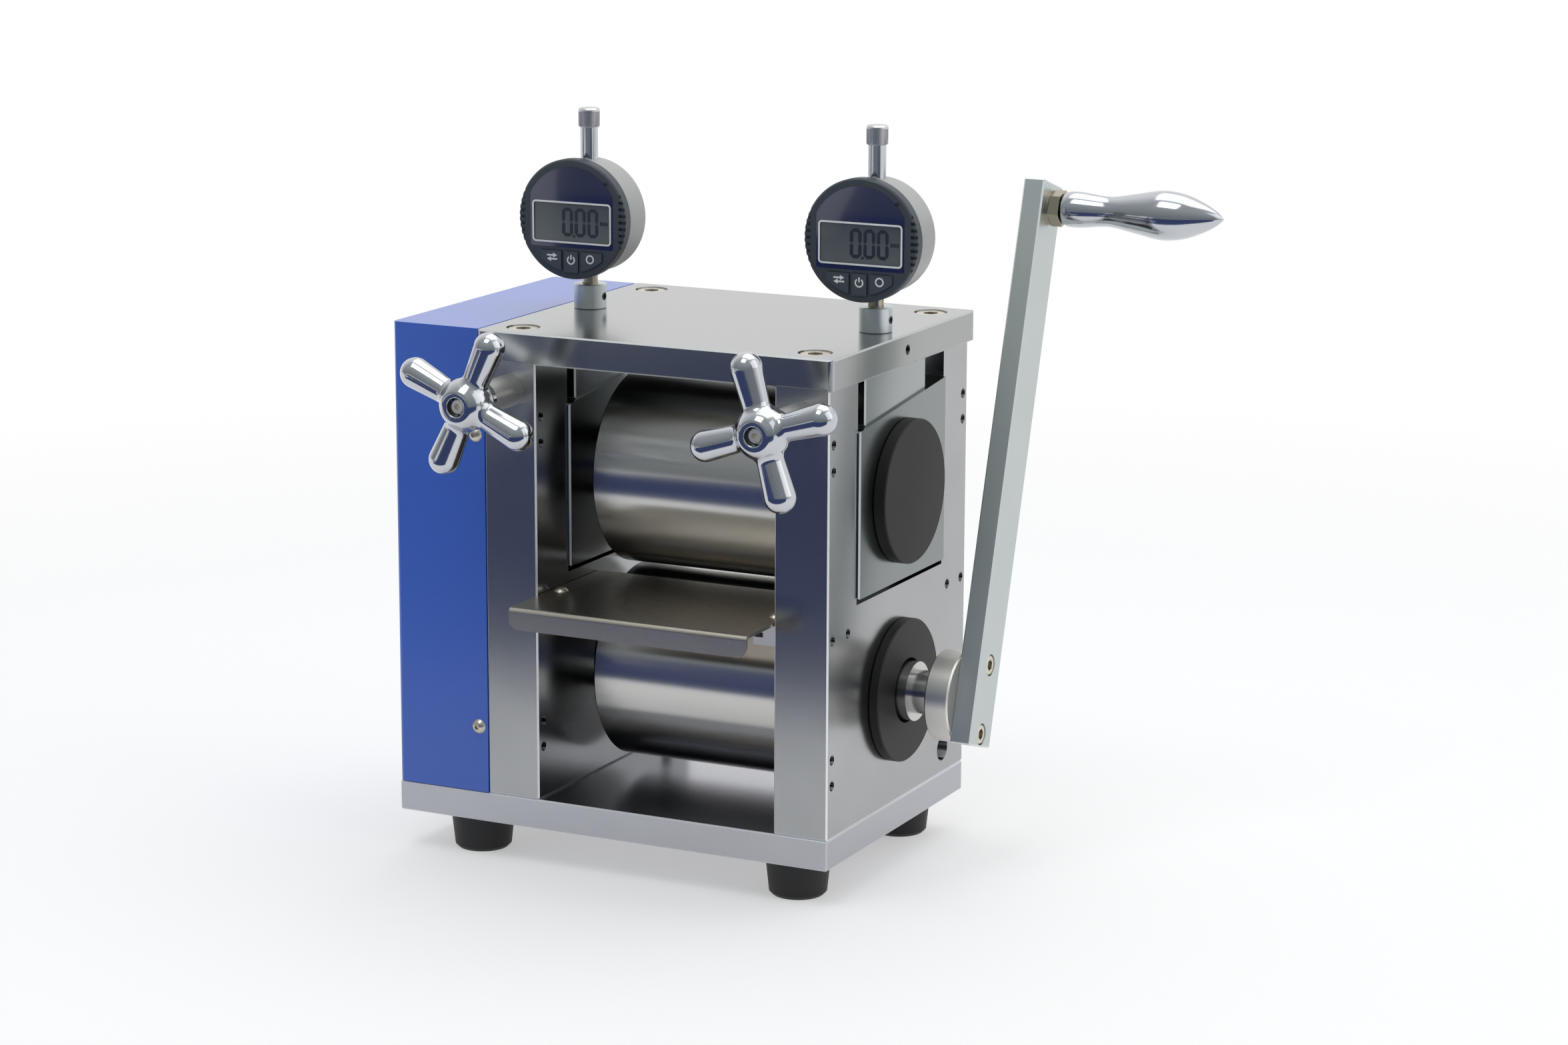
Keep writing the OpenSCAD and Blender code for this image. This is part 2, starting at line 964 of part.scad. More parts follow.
// The key sits half in the shaft and half in the gear
module gear_key() {
    x = (gear_x0 + gear_x1 - key_l) / 2;
    translate([x, -key_w / 2, gear_bore / 2 - key_w / 2])
        cube([key_l, key_w, key_w]);
}

module hub_key() {
    l = hub_t - 2 * edge_break;
    translate([hub_x + edge_break, -key_w / 2, hub_bore / 2 - key_w / 2])
        cube([l, key_w, key_w]);
}

module lower_roll() {
    collar_x = right_x + lower_cap_t + crank_collar_l;
    shaft_end = arm_x - shaft_short;
    color(chrome)
        home()
            translate([0, roll_y, lower_z])
                difference() {
                    along_x(0, 0, 0)
                        rotate_extrude()
                            polygon(roll_outline([
                                [journal_d / 2, collar_x], [hub_bore / 2, collar_x],
                                [hub_bore / 2, shaft_end], [0, shaft_end]
                            ]));
                    gear_end_cuts();
                    hub_key();
                }
}

module upper_roll() {
    end_x = right_bearing_x + bearing_w + spigot_l / 2;
    color(chrome)
        home()
            translate([0, roll_y, upper_z])
                difference() {
                    along_x(0, 0, 0)
                        rotate_extrude()
                            polygon(roll_outline([[journal_d / 2, end_x], [0, end_x]]));
                    gear_end_cuts();
                }
}

// Involute gear, a tooth on local x
function involute_deg(a) = tan(a) * 180 / PI - a;
function half_tooth(r) = 90 / gear_teeth - backlash_deg + involute_deg(pressure_angle)
    - involute_deg(acos(min(1, gear_base_r / r)));
function polar(r, a) = [r * cos(a), r * sin(a)];
function flank(a, side) = [
    for (i = [0 : flank_steps - 1])
        let (r = gear_base_r + (tip_r - gear_base_r) * i / (flank_steps - 1))
            polar(r, a + side * half_tooth(r))
];
function backwards(p) = [for (i = [len(p) - 1 : -1 : 0]) p[i]];
function one_tooth(a) = concat(
    [polar(root_r, a - half_tooth(gear_base_r))], flank(a, -1),
    backwards(flank(a, 1)), [polar(root_r, a + half_tooth(gear_base_r))]
);

module gear_solid() {
    outline = [for (i = [0 : gear_teeth - 1]) each one_tooth(i * 360 / gear_teeth)];
    difference() {
        linear_extrude(gear_face)
            polygon(outline);
        translate([0, 0, -over])
            cylinder(d = gear_bore + 2 * seat_fit, h = gear_face + 2 * over);
        for (z = [-over, gear_face - gear_web_cut])
            translate([0, 0, z])
                tube(2 * (root_r - gear_rim), gear_hub_d, gear_web_cut + over);
    }
}

// The bore's keyway opens along the whole face
module keyed_gear(z) {
    h = key_w / 2 + gear_bore / 2;
    color(steel)
        home()
            difference() {
                along_x(gear_x0, roll_y, z)
                    gear_solid();
                translate([gear_x0 - over, roll_y - key_w / 2, z])
                    cube([gear_face + 2 * over, key_w, h]);
            }
}

module drive_gear() {
    keyed_gear(lower_z);
}

module driven_gear() {
    keyed_gear(upper_z);
}

module lower_keys() {
    color(dark)
        home()
            translate([0, roll_y, lower_z]) {
                gear_key();
                hub_key();
            }
}

module driven_gear_key() {
    color(dark)
        home()
            translate([0, roll_y, upper_z])
                gear_key();
}

// Washer and hexagon bolt that hold a gear on its shaft
module gear_bolt_solid(z) {
    color(bright)
        home()
            translate([gear_x0, roll_y, z])
                rotate([0, -90, 0]) {
                    tube(washer_d, gear_bolt_d + 2 * run_fit, washer_t);
                    translate([0, 0, washer_t])
                        cylinder(d = gear_bolt_head_w / cos(30), h = gear_bolt_head_h, $fn = 6);
                    translate([0, 0, -gear_bolt_l])
                        cylinder(d = gear_bolt_d, h = gear_bolt_l + washer_t);
                }
}

module drive_gear_bolt() {
    gear_bolt_solid(lower_z);
}

module driven_gear_bolt() {
    gear_bolt_solid(upper_z);
}

// Crank: places along the leaning arm, measured from the crankshaft
module on_arm(r) {
    translate([0, roll_y, lower_z])
        rotate([-arm_lean, 0, 0])
            translate([0, 0, r])
                children();
}

module crank_hub() {
    color(chrome)
        home()
            difference() {
                along_x(hub_x, roll_y, lower_z)
                    difference() {
                        turned_disc(hub_d, hub_t, edge_break);
                        translate([0, 0, -over])
                            cylinder(d = hub_bore + 2 * seat_fit, h = hub_t + 2 * over);
                    }
                translate([hub_x - over, roll_y - key_w / 2, lower_z])
                    cube([hub_t + 2 * over, key_w, hub_bore / 2 + key_w / 2]);
                for (s = [-1, 1])
                    on_arm(s * hub_screw_r)
                        along_x(arm_x, 0, 0)
                            tapped_hole(arm_screw[0], hub_t + over);
            }
}

module crank_arm() {
    l = crank_r + arm_tail + arm_head;
    color("#8f9a98")
        home()
            on_arm(0)
                difference() {
                    translate([arm_x, -arm_w / 2, -arm_tail])
                        machined_block(arm_t, arm_w, l, edge_break);
                    for (s = [-1, 1])
                        along_x(arm_out - arm_sink, 0, s * hub_screw_r)
                            cap_screw_hole(arm_screw, arm_sink, arm_t);
                    along_x(arm_x - over, 0, crank_r)
                        cylinder(d = spindle_thread_d + 2 * run_fit, h = arm_t + 2 * over);
                }
}

module crank_screws() {
    color(bright)
        home()
            for (s = [-1, 1])
                on_arm(s * hub_screw_r)
                    along_x(arm_out - arm_sink, 0, 0)
                        cap_screw(arm_screw, hub_screw_l);
}

// Threaded end, flange, hexagon and the axle that the handle turns on
module handle_spindle() {
    color(bright)
        home()
            on_arm(crank_r)
                along_x(arm_out, 0, 0) {
                    translate([0, 0, -arm_t])
                        cylinder(d = spindle_thread_d, h = arm_t + spindle_flange_t);
                    cylinder(d = spindle_flange_d, h = spindle_flange_t);
                    translate([0, 0, spindle_flange_t])
                        cylinder(d = spindle_hex / cos(30), h = spindle_hex_t, $fn = 6);
                    cylinder(d = handle_axle_d, h = handle_axle_l);
                }
}

// A smooth curve through the handle's stations
function curve_value(p, i, t) =
    let (
        a = p[max(i - 1, 0)], b = p[i], c = p[i + 1], d = p[min(i + 2, len(p) - 1)]
    )
    (2 * b + (c - a) * t + (2 * a - 5 * b + 4 * c - d) * t * t
        + (3 * b - a - 3 * c + d) * t * t * t) / 2;

module crank_handle() {
    n = len(handle_station_shares) - 1;
    spans = [for (i = [0 : n - 1], k = [0 : handle_steps - 1]) [i, k / handle_steps]];
    edge = [
        for (s = spans)
            [
                curve_value(handle_radius_shares, s[0], s[1]) * handle_d / 2,
                curve_value(handle_station_shares, s[0], s[1]) * handle_l
            ]
    ];
    color(chrome)
        home()
            on_arm(crank_r)
                along_x(handle_x, 0, 0)
                    difference() {
                        rotate_extrude()
                            polygon(concat([[0, 0]], edge, [[0, handle_l]]));
                        translate([0, 0, -over])
                            cylinder(d = handle_axle_d + 2 * run_fit, h = handle_bore_l + over);
                    }
}

// Broken upright edges for a piece that stands between y0 and y1
module broken_edges(x0, w, y0, y1) {
    translate([x0, y0, 0])
        linear_extrude(top_z)
            cut_rect(w, y1 - y0, edge_break);
}

// Bearing blocks. Local x = 0 is the side plate's inner face
function block_edge(y) = block_top + wedge_slope_share * (y - roll_y);

module block_solid() {
    y0 = slot_front + slide_gap;
    y1 = slot_back - slide_gap;
    w = side_t + 2 * block_proud;
    spot_z = block_top - seat_spot;
    c = edge_break;
    difference() {
        intersection() {
            broken_edges(-block_proud, w, y0, y1);
            translate([-block_proud, 0, 0])
                rotate([90, 0, 90])
                    linear_extrude(w)
                        polygon([
                            [y0 + c, block_z], [y1 - c, block_z], [y1, block_z + c],
                            [y1, block_edge(y1) - c], [y1 - c, block_edge(y1 - c)],
                            [y0 + c, block_edge(y0 + c)], [y0, block_edge(y0) - c],
                            [y0, block_z + c]
                        ]);
        }
        along_x(shoulder_t, roll_y, upper_z)
            cylinder(d = bearing_d, h = side_t);
        along_x(-side_t, roll_y, upper_z)
            cylinder(d = shoulder_bore, h = 2 * side_t);
        translate([side_t / 2, roll_y, spot_z])
            cylinder(d = seat_spot_d, h = wedge_t);
        for (s = [-1, 1])
            translate([side_t / 2, roll_y + s * spring_off, block_z - over])
                cylinder(d = spring_pocket_d, h = spring_recess + over);
    }
}

module bearing_block_right() {
    color(bright)
        home()
            translate([right_in, 0, 0])
                block_solid();
}

module bearing_block_left() {
    color(bright)
        home()
            translate([left_in, 0, 0])
                mirror([1, 0, 0])
                    block_solid();
}

// Coil springs that hold the blocks up against the wedges
function coil_point(t, h, k) =
    let (
        turn = 360 * spring_turns * t,
        side = 360 * k / spring_sides,
        wire = spring_wire / 2,
        r = spring_d / 2 + wire * cos(side)
    )
    [r * cos(turn), r * sin(turn), wire + (h - 2 * wire) * t + wire * sin(side)];

module coil_spring(h) {
    n = spring_turns * spring_steps;
    m = spring_sides;
    points = [for (i = [0 : n], k = [0 : m - 1]) coil_point(i / n, h, k)];
    walls = [
        for (i = [0 : n - 1], k = [0 : m - 1])
            let (a = i * m + k, b = i * m + (k + 1) % m)
                each [[a, a + m, b], [b, a + m, b + m]]
    ];
    first = [for (k = [0 : m - 1]) k];
    last = [for (k = [m - 1 : -1 : 0]) n * m + k];
    polyhedron(concat(points), concat(walls, [first], [last]));
}

spring_h = spring_pocket + lift_gap + spring_recess;

// Least gap of the coil to itself, measured between points one turn apart
function coil_middle(i) =
    let (n = spring_turns * spring_steps, a = 360 * i / spring_steps)
    [spring_d / 2 * cos(a), spring_d / 2 * sin(a), (spring_h - spring_wire) * i / n];
coil_gaps = [
    for (i = [0 : spring_steps * (spring_turns - 1)], k = [spring_steps - 2 : spring_steps])
        norm(coil_middle(i + k) - coil_middle(i)) - spring_wire
];
echo(spring_least_gap = min(coil_gaps));

module lift_springs() {
    color(dark)
        home()
            for (x = [left_mid, right_mid], s = [-1, 1])
                translate([x, roll_y + s * spring_off, slot_z - spring_pocket])
                    coil_spring(spring_h);
}

// Wedges between the blocks and the top plate, slotted for the indicator spindles
module wedge_solid() {
    y0 = wedge_front;
    y1 = wedge_front + wedge_l;
    slot_y0 = roll_y - spindle_slot_w / 2 - close_travel;
    slot_y1 = roll_y + spindle_slot_w / 2 + open_travel;
    up = wedge_gap;
    c = edge_break;
    difference() {
        intersection() {
            broken_edges(0, side_t, y0, y1);
            rotate([90, 0, 90])
                linear_extrude(side_t)
                    polygon([
                        [y0, block_edge(y0) + up + c], [y0 + c, block_edge(y0 + c) + up],
                        [y1 - c, block_edge(y1 - c) + up], [y1, block_edge(y1) + up + c],
                        [y1, ceiling_z - up - c], [y1 - c, ceiling_z - up],
                        [y0 + c, ceiling_z - up], [y0, ceiling_z - up - c]
                    ]);
        }
        along_y(side_t / 2, y0 - over, screw_z)
            cylinder(d = thread_d + 2 * run_fit, h = wedge_hole_l + over);
        translate([side_t / 2 - spindle_slot_w / 2, slot_y0, block_top - wedge_t])
            cube([spindle_slot_w, slot_y1 - slot_y0, 3 * wedge_t]);
    }
}

module wedges() {
    color(bright)
        home()
            for (x = [left_x, right_in])
                translate([x, 0, 0])
                    wedge_solid();
}

// Adjusting screws: a shank through the front post, a captive collar and a thread
module adjusting_screw(x) {
    stub_y = -knob_reach;
    shank_y = stub_y + knob_stub_l;
    collar_y = slot_front - collar_from_slot + slide_gap;
    color(steel)
        home()
            difference() {
                translate([x, 0, screw_z])
                    union() {
                        along_y(0, stub_y, 0)
                            cylinder(d = stub_d, h = knob_stub_l + over);
                        along_y(0, shank_y, 0)
                            cylinder(d = shank_d, h = collar_y - shank_y);
                        along_y(0, collar_y, 0)
                            cylinder(d = shank_d + 2 * collar_over, h = collar_t);
                        along_y(0, collar_y, 0)
                            cylinder(d = thread_d, h = screw_tip_y - collar_y);
                    }
                along_y(x, stub_y - over, screw_z)
                    cylinder(d = small_screw[0] + 2 * run_fit, h = knob_stub_l);
            }
}

module adjusting_screw_left() {
    adjusting_screw(left_mid);
}

module adjusting_screw_right() {
    adjusting_screw(right_mid);
}

// Rings that keep the screws' collars in the front posts
module retaining_rings() {
    y = slot_front - collar_from_slot + collar_t + 2 * slide_gap;
    d = shank_d + 2 * (collar_over + ring_groove) - 2 * seat_fit;
    color(dark)
        home()
            for (x = [left_mid, right_mid])
                along_y(x, y, screw_z)
                    tube(d, ring_bore, ring_t);
}

// Cast cross knob with a ball hub, and its socket screw. Local z points to the front
module knob_solid() {
    flat = sqrt(pow(knob_ball_d, 2) - pow(knob_flat_d, 2)) / 2;
    back = knob_stub_l;
    tip_r = knob_arm_tip_d / 2;
    cone_l = knob_arm_l - tip_r;
    difference() {
        union() {
            sphere(d = knob_ball_d);
            translate([0, 0, -back])
                cylinder(d = knob_neck_d, h = knob_neck_l);
            for (i = [0 : 3])
                rotate([0, 90, i * 90]) {
                    cylinder(d1 = knob_arm_root_d, d2 = knob_arm_tip_d, h = cone_l);
                    translate([0, 0, cone_l])
                        sphere(r = tip_r);
                }
        }
        translate([0, 0, flat])
            cylinder(d = knob_ball_d, h = knob_ball_d);
        translate([0, 0, flat - knob_sink])
            cylinder(d = knob_sink_d, h = knob_sink + over);
        translate([0, 0, -back])
            cylinder(d = small_screw[0] + 2 * run_fit, h = back + flat);
        translate([0, 0, -back - over])
            cylinder(d = stub_d + 2 * seat_fit, h = back + over);
    }
    translate([0, 0, flat - knob_sink + seat_fit])
        cap_screw(small_screw, knob_stub_l);
}

module knob(x, turn) {
    color(chrome)
        home()
            translate([x, -knob_reach, screw_z])
                rotate([90, 0, 0])
                    rotate([0, 0, turn])
                        knob_solid();
}

module knob_left() {
    knob(left_mid, knob_left_turn);
}

module knob_right() {
    knob(right_mid, knob_right_turn);
}

// Feed plates, front and rear: a polished sheet with a bent lip
module feed_plates() {
    w = inner_w - 2 * feed_side_gap;
    y0 = -feed_reach;
    r = feed_bend_r;
    color("#6a6864")
        home()
            difference() {
                front_and_rear()
                    translate([left_in + feed_side_gap, 0, 0]) {
                        translate([0, y0 + r, feed_z - feed_t])
                            cube([w, feed_in - y0 - r, feed_t]);
                        along_x(0, y0 + r, feed_z - r)
                            intersection() {
                                tube(2 * r, 2 * (r - feed_t), w);
                                translate([-r, -r, 0])
                                    cube([r, r, w]);
                            }
                        translate([0, y0 + feed_t, feed_z - feed_lip])
                            rotate([90, 0, 0])
                                linear_extrude(feed_t)
                                    intersection() {
                                        square([w, feed_lip - r]);
                                        round_rect(w, 2 * feed_lip, feed_corner_r);
                                    }
                    }
                feed_screw_places()
                    tapped_hole(button_screw[0], feed_t + over);
            }
}

module bracket_screw_places() {
    for (y = [bracket_hole_a, bracket_hole_b])
        front_and_rear() {
            translate([left_in + bracket_w, y, bracket_z + bracket_h / 2])
                rotate([0, 90, 0])
                    children();
            translate([right_in - bracket_w, y, bracket_z + bracket_h / 2])
                rotate([0, -90, 0])
                    children();
        }
}

module feed_brackets() {
    sink = bracket_screw[2] + head_gap / 2;
    color(bright)
        home()
            difference() {
                for (x = [left_in, right_in - bracket_w])
                    front_and_rear()
                        translate([x, bracket_set, bracket_z])
                            cube([bracket_w, bracket_l, bracket_h]);
                bracket_screw_places()
                    translate([0, 0, -sink])
                        cap_screw_hole(bracket_screw, sink, bracket_w);
                feed_screw_places()
                    tapped_hole(button_screw[0], button_screw_l + run_fit);
            }
}

module bracket_screws() {
    sink = bracket_screw[2] + head_gap / 2;
    color(dark)
        home()
            bracket_screw_places()
                translate([0, 0, -sink])
                    cap_screw(bracket_screw, bracket_screw_l);
}

// Indicator collars and the set screws that hold collar and stem
module indicator_collars() {
    color(steel)
        home()
            for (x = [left_mid, right_mid])
                translate([x, roll_y, 0])
                    difference() {
                        union() {
                            translate([0, 0, top_z])
                                turned_disc(collar_d, collar_h, edge_break / 2);
                            translate([0, 0, ceiling_z])
                                cylinder(d = collar_spigot_d, h = top_z - ceiling_z + over);
                        }
                        translate([0, 0, plate_z])
                            cylinder(d = stem_d + 2 * seat_fit, h = top_t + collar_h + over);
                        along_x(0, 0, top_z + collar_h / 2)
                            cylinder(d = small_screw[0] + 2 * run_fit, h = collar_d);
                    }
}

module set_screws() {
    l = (collar_d - stem_d) / 2 - 2 * seat_fit;
    plate_l = side_t / 2 + top_over_x - collar_spigot_d / 2;
    z = top_z - top_t / 2;
    sunk = plate_l / 2;
    color(dark)
        home() {
            for (x = [left_mid, right_mid])
                along_x(x + stem_d / 2 + seat_fit, roll_y, top_z + collar_h / 2)
                    set_screw_solid(small_screw[0], l);
            along_x(right_mid + collar_spigot_d / 2, roll_y, z)
                set_screw_solid(bracket_screw[0], sunk);
            translate([left_mid - collar_spigot_d / 2, roll_y, z])
                rotate([0, -90, 0])
                    set_screw_solid(bracket_screw[0], sunk);
        }
}

// Indicator case with its stem below and its tube above
module indicator_case(x) {
    d = case_t - turn_gap;
    stem_z = ceiling_z + stem_below - case_z;
    bore_l = tube_l - case_wall + over;
    color("#b9bcbc")
        home()
            translate([x, roll_y, case_z])
                difference() {
                    union() {
                        along_y(0, case_y - roll_y + turn_gap, 0)
                            turned_disc(case_d, d, case_rim_r);
                        translate([0, 0, stem_z])
                            cylinder(d = stem_d, h = -stem_z);
                        cylinder(d = tube_d, h = case_d / 2 + tube_l);
                    }
                    along_y(0, case_y - roll_y - over, 0)
                        cylinder(d = case_d - 2 * case_wall, h = d - case_wall + over);
                    translate([0, 0, stem_z - over])
                        cylinder(d = spindle_bore, h = case_d / 2 - stem_z + bore_l);
                }
}

module indicator_case_left() {
    indicator_case(left_mid);
}

module indicator_case_right() {
    indicator_case(right_mid);
}

module dust_caps() {
    color(chrome)
        home()
            for (x = [left_mid, right_mid])
                translate([x, roll_y, case_z + case_d / 2 + tube_l])
                    turned_disc(dust_cap_d, dust_cap_h, edge_break);
}

// Spindles that rest on the blocks, with a ball contact at the lower end
module indicator_spindles() {
    tip_z = block_top - seat_spot + contact_gap;
    l = case_z + case_d / 2 + spindle_top - tip_z;
    r = spindle_d / 2;
    color(bright)
        home()
            for (x = [left_mid, right_mid])
                translate([x, roll_y, tip_z + r]) {
                    sphere(r = r);
                    cylinder(r = r, h = l - r);
                }
}

// Turning face: local z points to the front, local y points up, z = 0 is the front
module button_outline(i) {
    w = button_side - button_split;
    if (i == 0)
        translate([-button_half, -panel_r])
            square([2 * button_half, panel_r - button_top]);
    else
        intersection() {
            circle(panel_r - button_gap);
            translate([i < 0 ? -button_side : button_split, -panel_r])
                square([w, panel_r - button_top]);
        }
}

module on_face(x) {
    translate([x, face_y, case_z])
        rotate([90, 0, 0])
            children();
}

module button_hole(i) {
    g = button_gap;
    w = button_side - button_split;
    if (i == 0)
        translate([-button_half - g, -panel_r - g])
            square([2 * (button_half + g), panel_r - button_top + 2 * g]);
    else
        intersection() {
            circle(panel_r);
            translate([(i < 0 ? -button_side : button_split) - g, -panel_r - g])
                square([w + 2 * g, panel_r - button_top + 2 * g]);
        }
}

module indicator_face(x) {
    half = (grip_count - 1) / 2;
    color("#3c4550")
        home()
            on_face(x)
                difference() {
                    translate([0, 0, -face_t])
                        turned_disc(face_d, face_t, face_chamfer);
                    translate([0, 0, -face_t - over])
                        cylinder(d = face_d - 2 * face_rim, h = face_t - face_wall + over);
                    translate([-window_w / 2, -window_h / 2 - window_drop, -face_t])
                        cube([window_w, window_h, 2 * face_t]);
                    for (i = [-1 : 1])
                        translate([0, 0, -face_t])
                            linear_extrude(2 * face_t)
                                button_hole(i);
                    for (s = [-1, 1], i = [-half : half])
                        translate([s * face_d / 2 - grip_in, i * grip_pitch - grip_h / 2,
                            -grip_deep])
                            cube([2 * grip_in, grip_h, 2 * grip_deep]);
                }
}

module indicator_face_left() {
    indicator_face(left_mid);
}

module indicator_face_right() {
    indicator_face(right_mid);
}

// Display: a glass front in the window and a wider back behind the face's wall
module display(x) {
    g = seat_fit;
    color("#56616e")
        home()
            on_face(x)
                translate([0, -window_drop, 0]) {
                    translate([-window_w / 2 + g, -window_h / 2 + g, -display_t])
                        cube([window_w - 2 * g, window_h - 2 * g, display_t - lens_sink]);
                    translate([-window_w / 2 - window_frame, -window_h / 2 - window_frame,
                        -display_t])
                        cube([window_w + 2 * window_frame, window_h + 2 * window_frame,
                            display_t - face_wall]);
                }
}

module display_left() {
    display(left_mid);
}

module display_right() {
    display(right_mid);
}

// Push buttons, numbered from left to right
module face_button(x, i) {
    color("#454f5b")
        home()
            on_face(x)
                translate([0, 0, button_out - button_t])
                    linear_extrude(button_t)
                        button_outline(i);
}

module unit_button_left() {
    face_button(left_mid, -1);
}

module power_button_left() {
    face_button(left_mid, 0);
}

module zero_button_left() {
    face_button(left_mid, 1);
}

module unit_button_right() {
    face_button(right_mid, -1);
}

module power_button_right() {
    face_button(right_mid, 0);
}

module zero_button_right() {
    face_button(right_mid, 1);
}

base_plate();
rubber_feet();
foot_screws();
side_plate_left();
side_plate_right();
side_plate_screws();
top_plate();
top_plate_screws();
gear_cover();
cover_lugs();
button_head_screws();
lower_bearing_caps();
lower_outer_rings();
retaining_rings();
feed_plates();
feed_brackets();
bracket_screws();
indicator_collars();
set_screws();
indicator_case_left();
indicator_case_right();
dust_caps();
lower_ball_cages();
lower_roll();
lower_inner_rings();
drive_gear();
lower_keys();
drive_gear_bolt();
crank_hub();
crank_arm();
crank_screws();
handle_spindle();
crank_handle();
bearing_block_left();
bearing_block_right();
upper_bearing_caps();
upper_outer_rings();
upper_ball_cages();
upper_roll();
upper_inner_rings();
driven_gear();
driven_gear_key();
driven_gear_bolt();
lift_springs();
wedges();
adjusting_screw_left();
adjusting_screw_right();
knob_left();
knob_right();
indicator_spindles();
indicator_face_left();
indicator_face_right();
display_left();
display_right();
unit_button_left();
power_button_left();
zero_button_left();
unit_button_right();
power_button_right();
zero_button_right();
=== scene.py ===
"""Bench calender with a hand crank, dressed for the studio. Lengths are in metres, or in mm times MM."""

import math

import bmesh
import bpy
import numpy as np
from mathutils import Matrix, Vector


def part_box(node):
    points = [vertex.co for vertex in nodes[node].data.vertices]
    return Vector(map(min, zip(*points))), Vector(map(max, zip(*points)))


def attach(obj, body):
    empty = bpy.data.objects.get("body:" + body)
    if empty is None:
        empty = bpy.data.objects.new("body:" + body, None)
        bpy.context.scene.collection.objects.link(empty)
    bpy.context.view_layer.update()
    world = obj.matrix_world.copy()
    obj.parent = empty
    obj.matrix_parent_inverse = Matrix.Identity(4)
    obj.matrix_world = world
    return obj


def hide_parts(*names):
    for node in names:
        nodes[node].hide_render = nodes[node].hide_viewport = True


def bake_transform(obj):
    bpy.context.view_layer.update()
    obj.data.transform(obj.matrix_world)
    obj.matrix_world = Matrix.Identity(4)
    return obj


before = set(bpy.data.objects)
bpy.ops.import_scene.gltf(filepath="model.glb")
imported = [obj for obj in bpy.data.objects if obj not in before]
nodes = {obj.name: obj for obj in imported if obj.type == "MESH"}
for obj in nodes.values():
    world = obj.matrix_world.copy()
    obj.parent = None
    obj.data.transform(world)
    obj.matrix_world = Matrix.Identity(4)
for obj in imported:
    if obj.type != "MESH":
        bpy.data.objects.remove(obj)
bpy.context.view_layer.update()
scene = bpy.context.scene
scene.view_settings.view_transform = "Standard"


# Camera. The view was solved from the straight edges of the plates, so the lens,
# the place and the three turns below put each corner where the photograph has it.

PHOTO_WIDTH_PX = 2352
FOCAL_PX = 5929.84
SENSOR_MM = 36
NEAREST_SEEN = 0.05
CAMERA_AT = Vector((0.84248, -1.73636, 0.59799))
YAW, PITCH, ROLL = 0.454844, 0.215393, 0.004041

look = Vector((-math.sin(YAW) * math.cos(PITCH), math.cos(YAW) * math.cos(PITCH), -math.sin(PITCH)))
level = Vector((math.cos(YAW), math.sin(YAW), 0))
above = level.cross(look)
side = level * math.cos(ROLL) + above * math.sin(ROLL)
upright = above * math.cos(ROLL) - level * math.sin(ROLL)
lens = bpy.data.cameras.new("camera")
lens.sensor_width = SENSOR_MM
lens.lens = SENSOR_MM * FOCAL_PX / PHOTO_WIDTH_PX
lens.clip_start = NEAREST_SEEN
camera = bpy.data.objects.new("camera", lens)
camera.matrix_world = Matrix.Translation(CAMERA_AT) @ Matrix((side, upright, -look)).transposed().to_4x4()
scene.collection.objects.link(camera)
scene.camera = camera


# Studio. A pale paper floor that runs into a white surround, under three large soft lamps.
# A navy screen and carpet, a grey wall and two white cards stand in front. They show only
# as reflections in the object: the camera sees past them and they cast no shadow.

MM = 0.001


def linear(code):
    """An sRGB hex colour as the linear colour that a shader takes."""
    parts = [int(code[i:i + 2], 16) / 255 for i in (1, 3, 5)]
    return [*(c / 12.92 if c <= 0.04045 else ((c + 0.055) / 1.055) ** 2.4 for c in parts), 1.0]


def add(tree, kind, settings=None, links=None):
    """Adds one node: settings name its inputs or its own options, links feed its inputs."""
    made = tree.nodes.new(kind)
    for key, value in (settings or {}).items():
        if isinstance(key, int) or key in made.inputs:
            made.inputs[key].default_value = value
        else:
            setattr(made, key, value)
    for key, source in (links or {}).items():
        tree.links.new(source, made.inputs[key])
    return made


def new_material(name):
    """An empty material, its tree and its output node."""
    material = bpy.data.materials.new(name)
    material.use_nodes = True
    material.node_tree.nodes.clear()
    return material, material.node_tree, add(material.node_tree, "ShaderNodeOutputMaterial")


def new_object(name, mesh):
    """An object for a mesh, linked to the scene."""
    made = bpy.data.objects.new(name, mesh)
    scene.collection.objects.link(made)
    return made


def even_glow(name, colour):
    """A card, cloth or wall that shows its own colour, however the lamps stand."""
    material, tree, output = new_material(name)
    own = add(tree, "ShaderNodeEmission", {"Color": linear(colour), "Strength": 1.0})
    tree.links.new(own.outputs["Emission"], output.inputs["Surface"])
    return material


def flat_sheet(name, corners, material):
    """One flat face through the corners."""
    mesh = bpy.data.meshes.new(name)
    mesh.from_pydata(corners, [], [range(len(corners))])
    mesh.materials.append(material)
    return new_object(name, mesh)


FLOOR_COLOUR = "#f2f2f3"
WHITE = "#ffffff"
FLOOR_HALF = 6.0
PAPER_UNTIL, WHITE_FROM = 0.75, 1.3
WHITE_SHARE_NEAR = 0.4

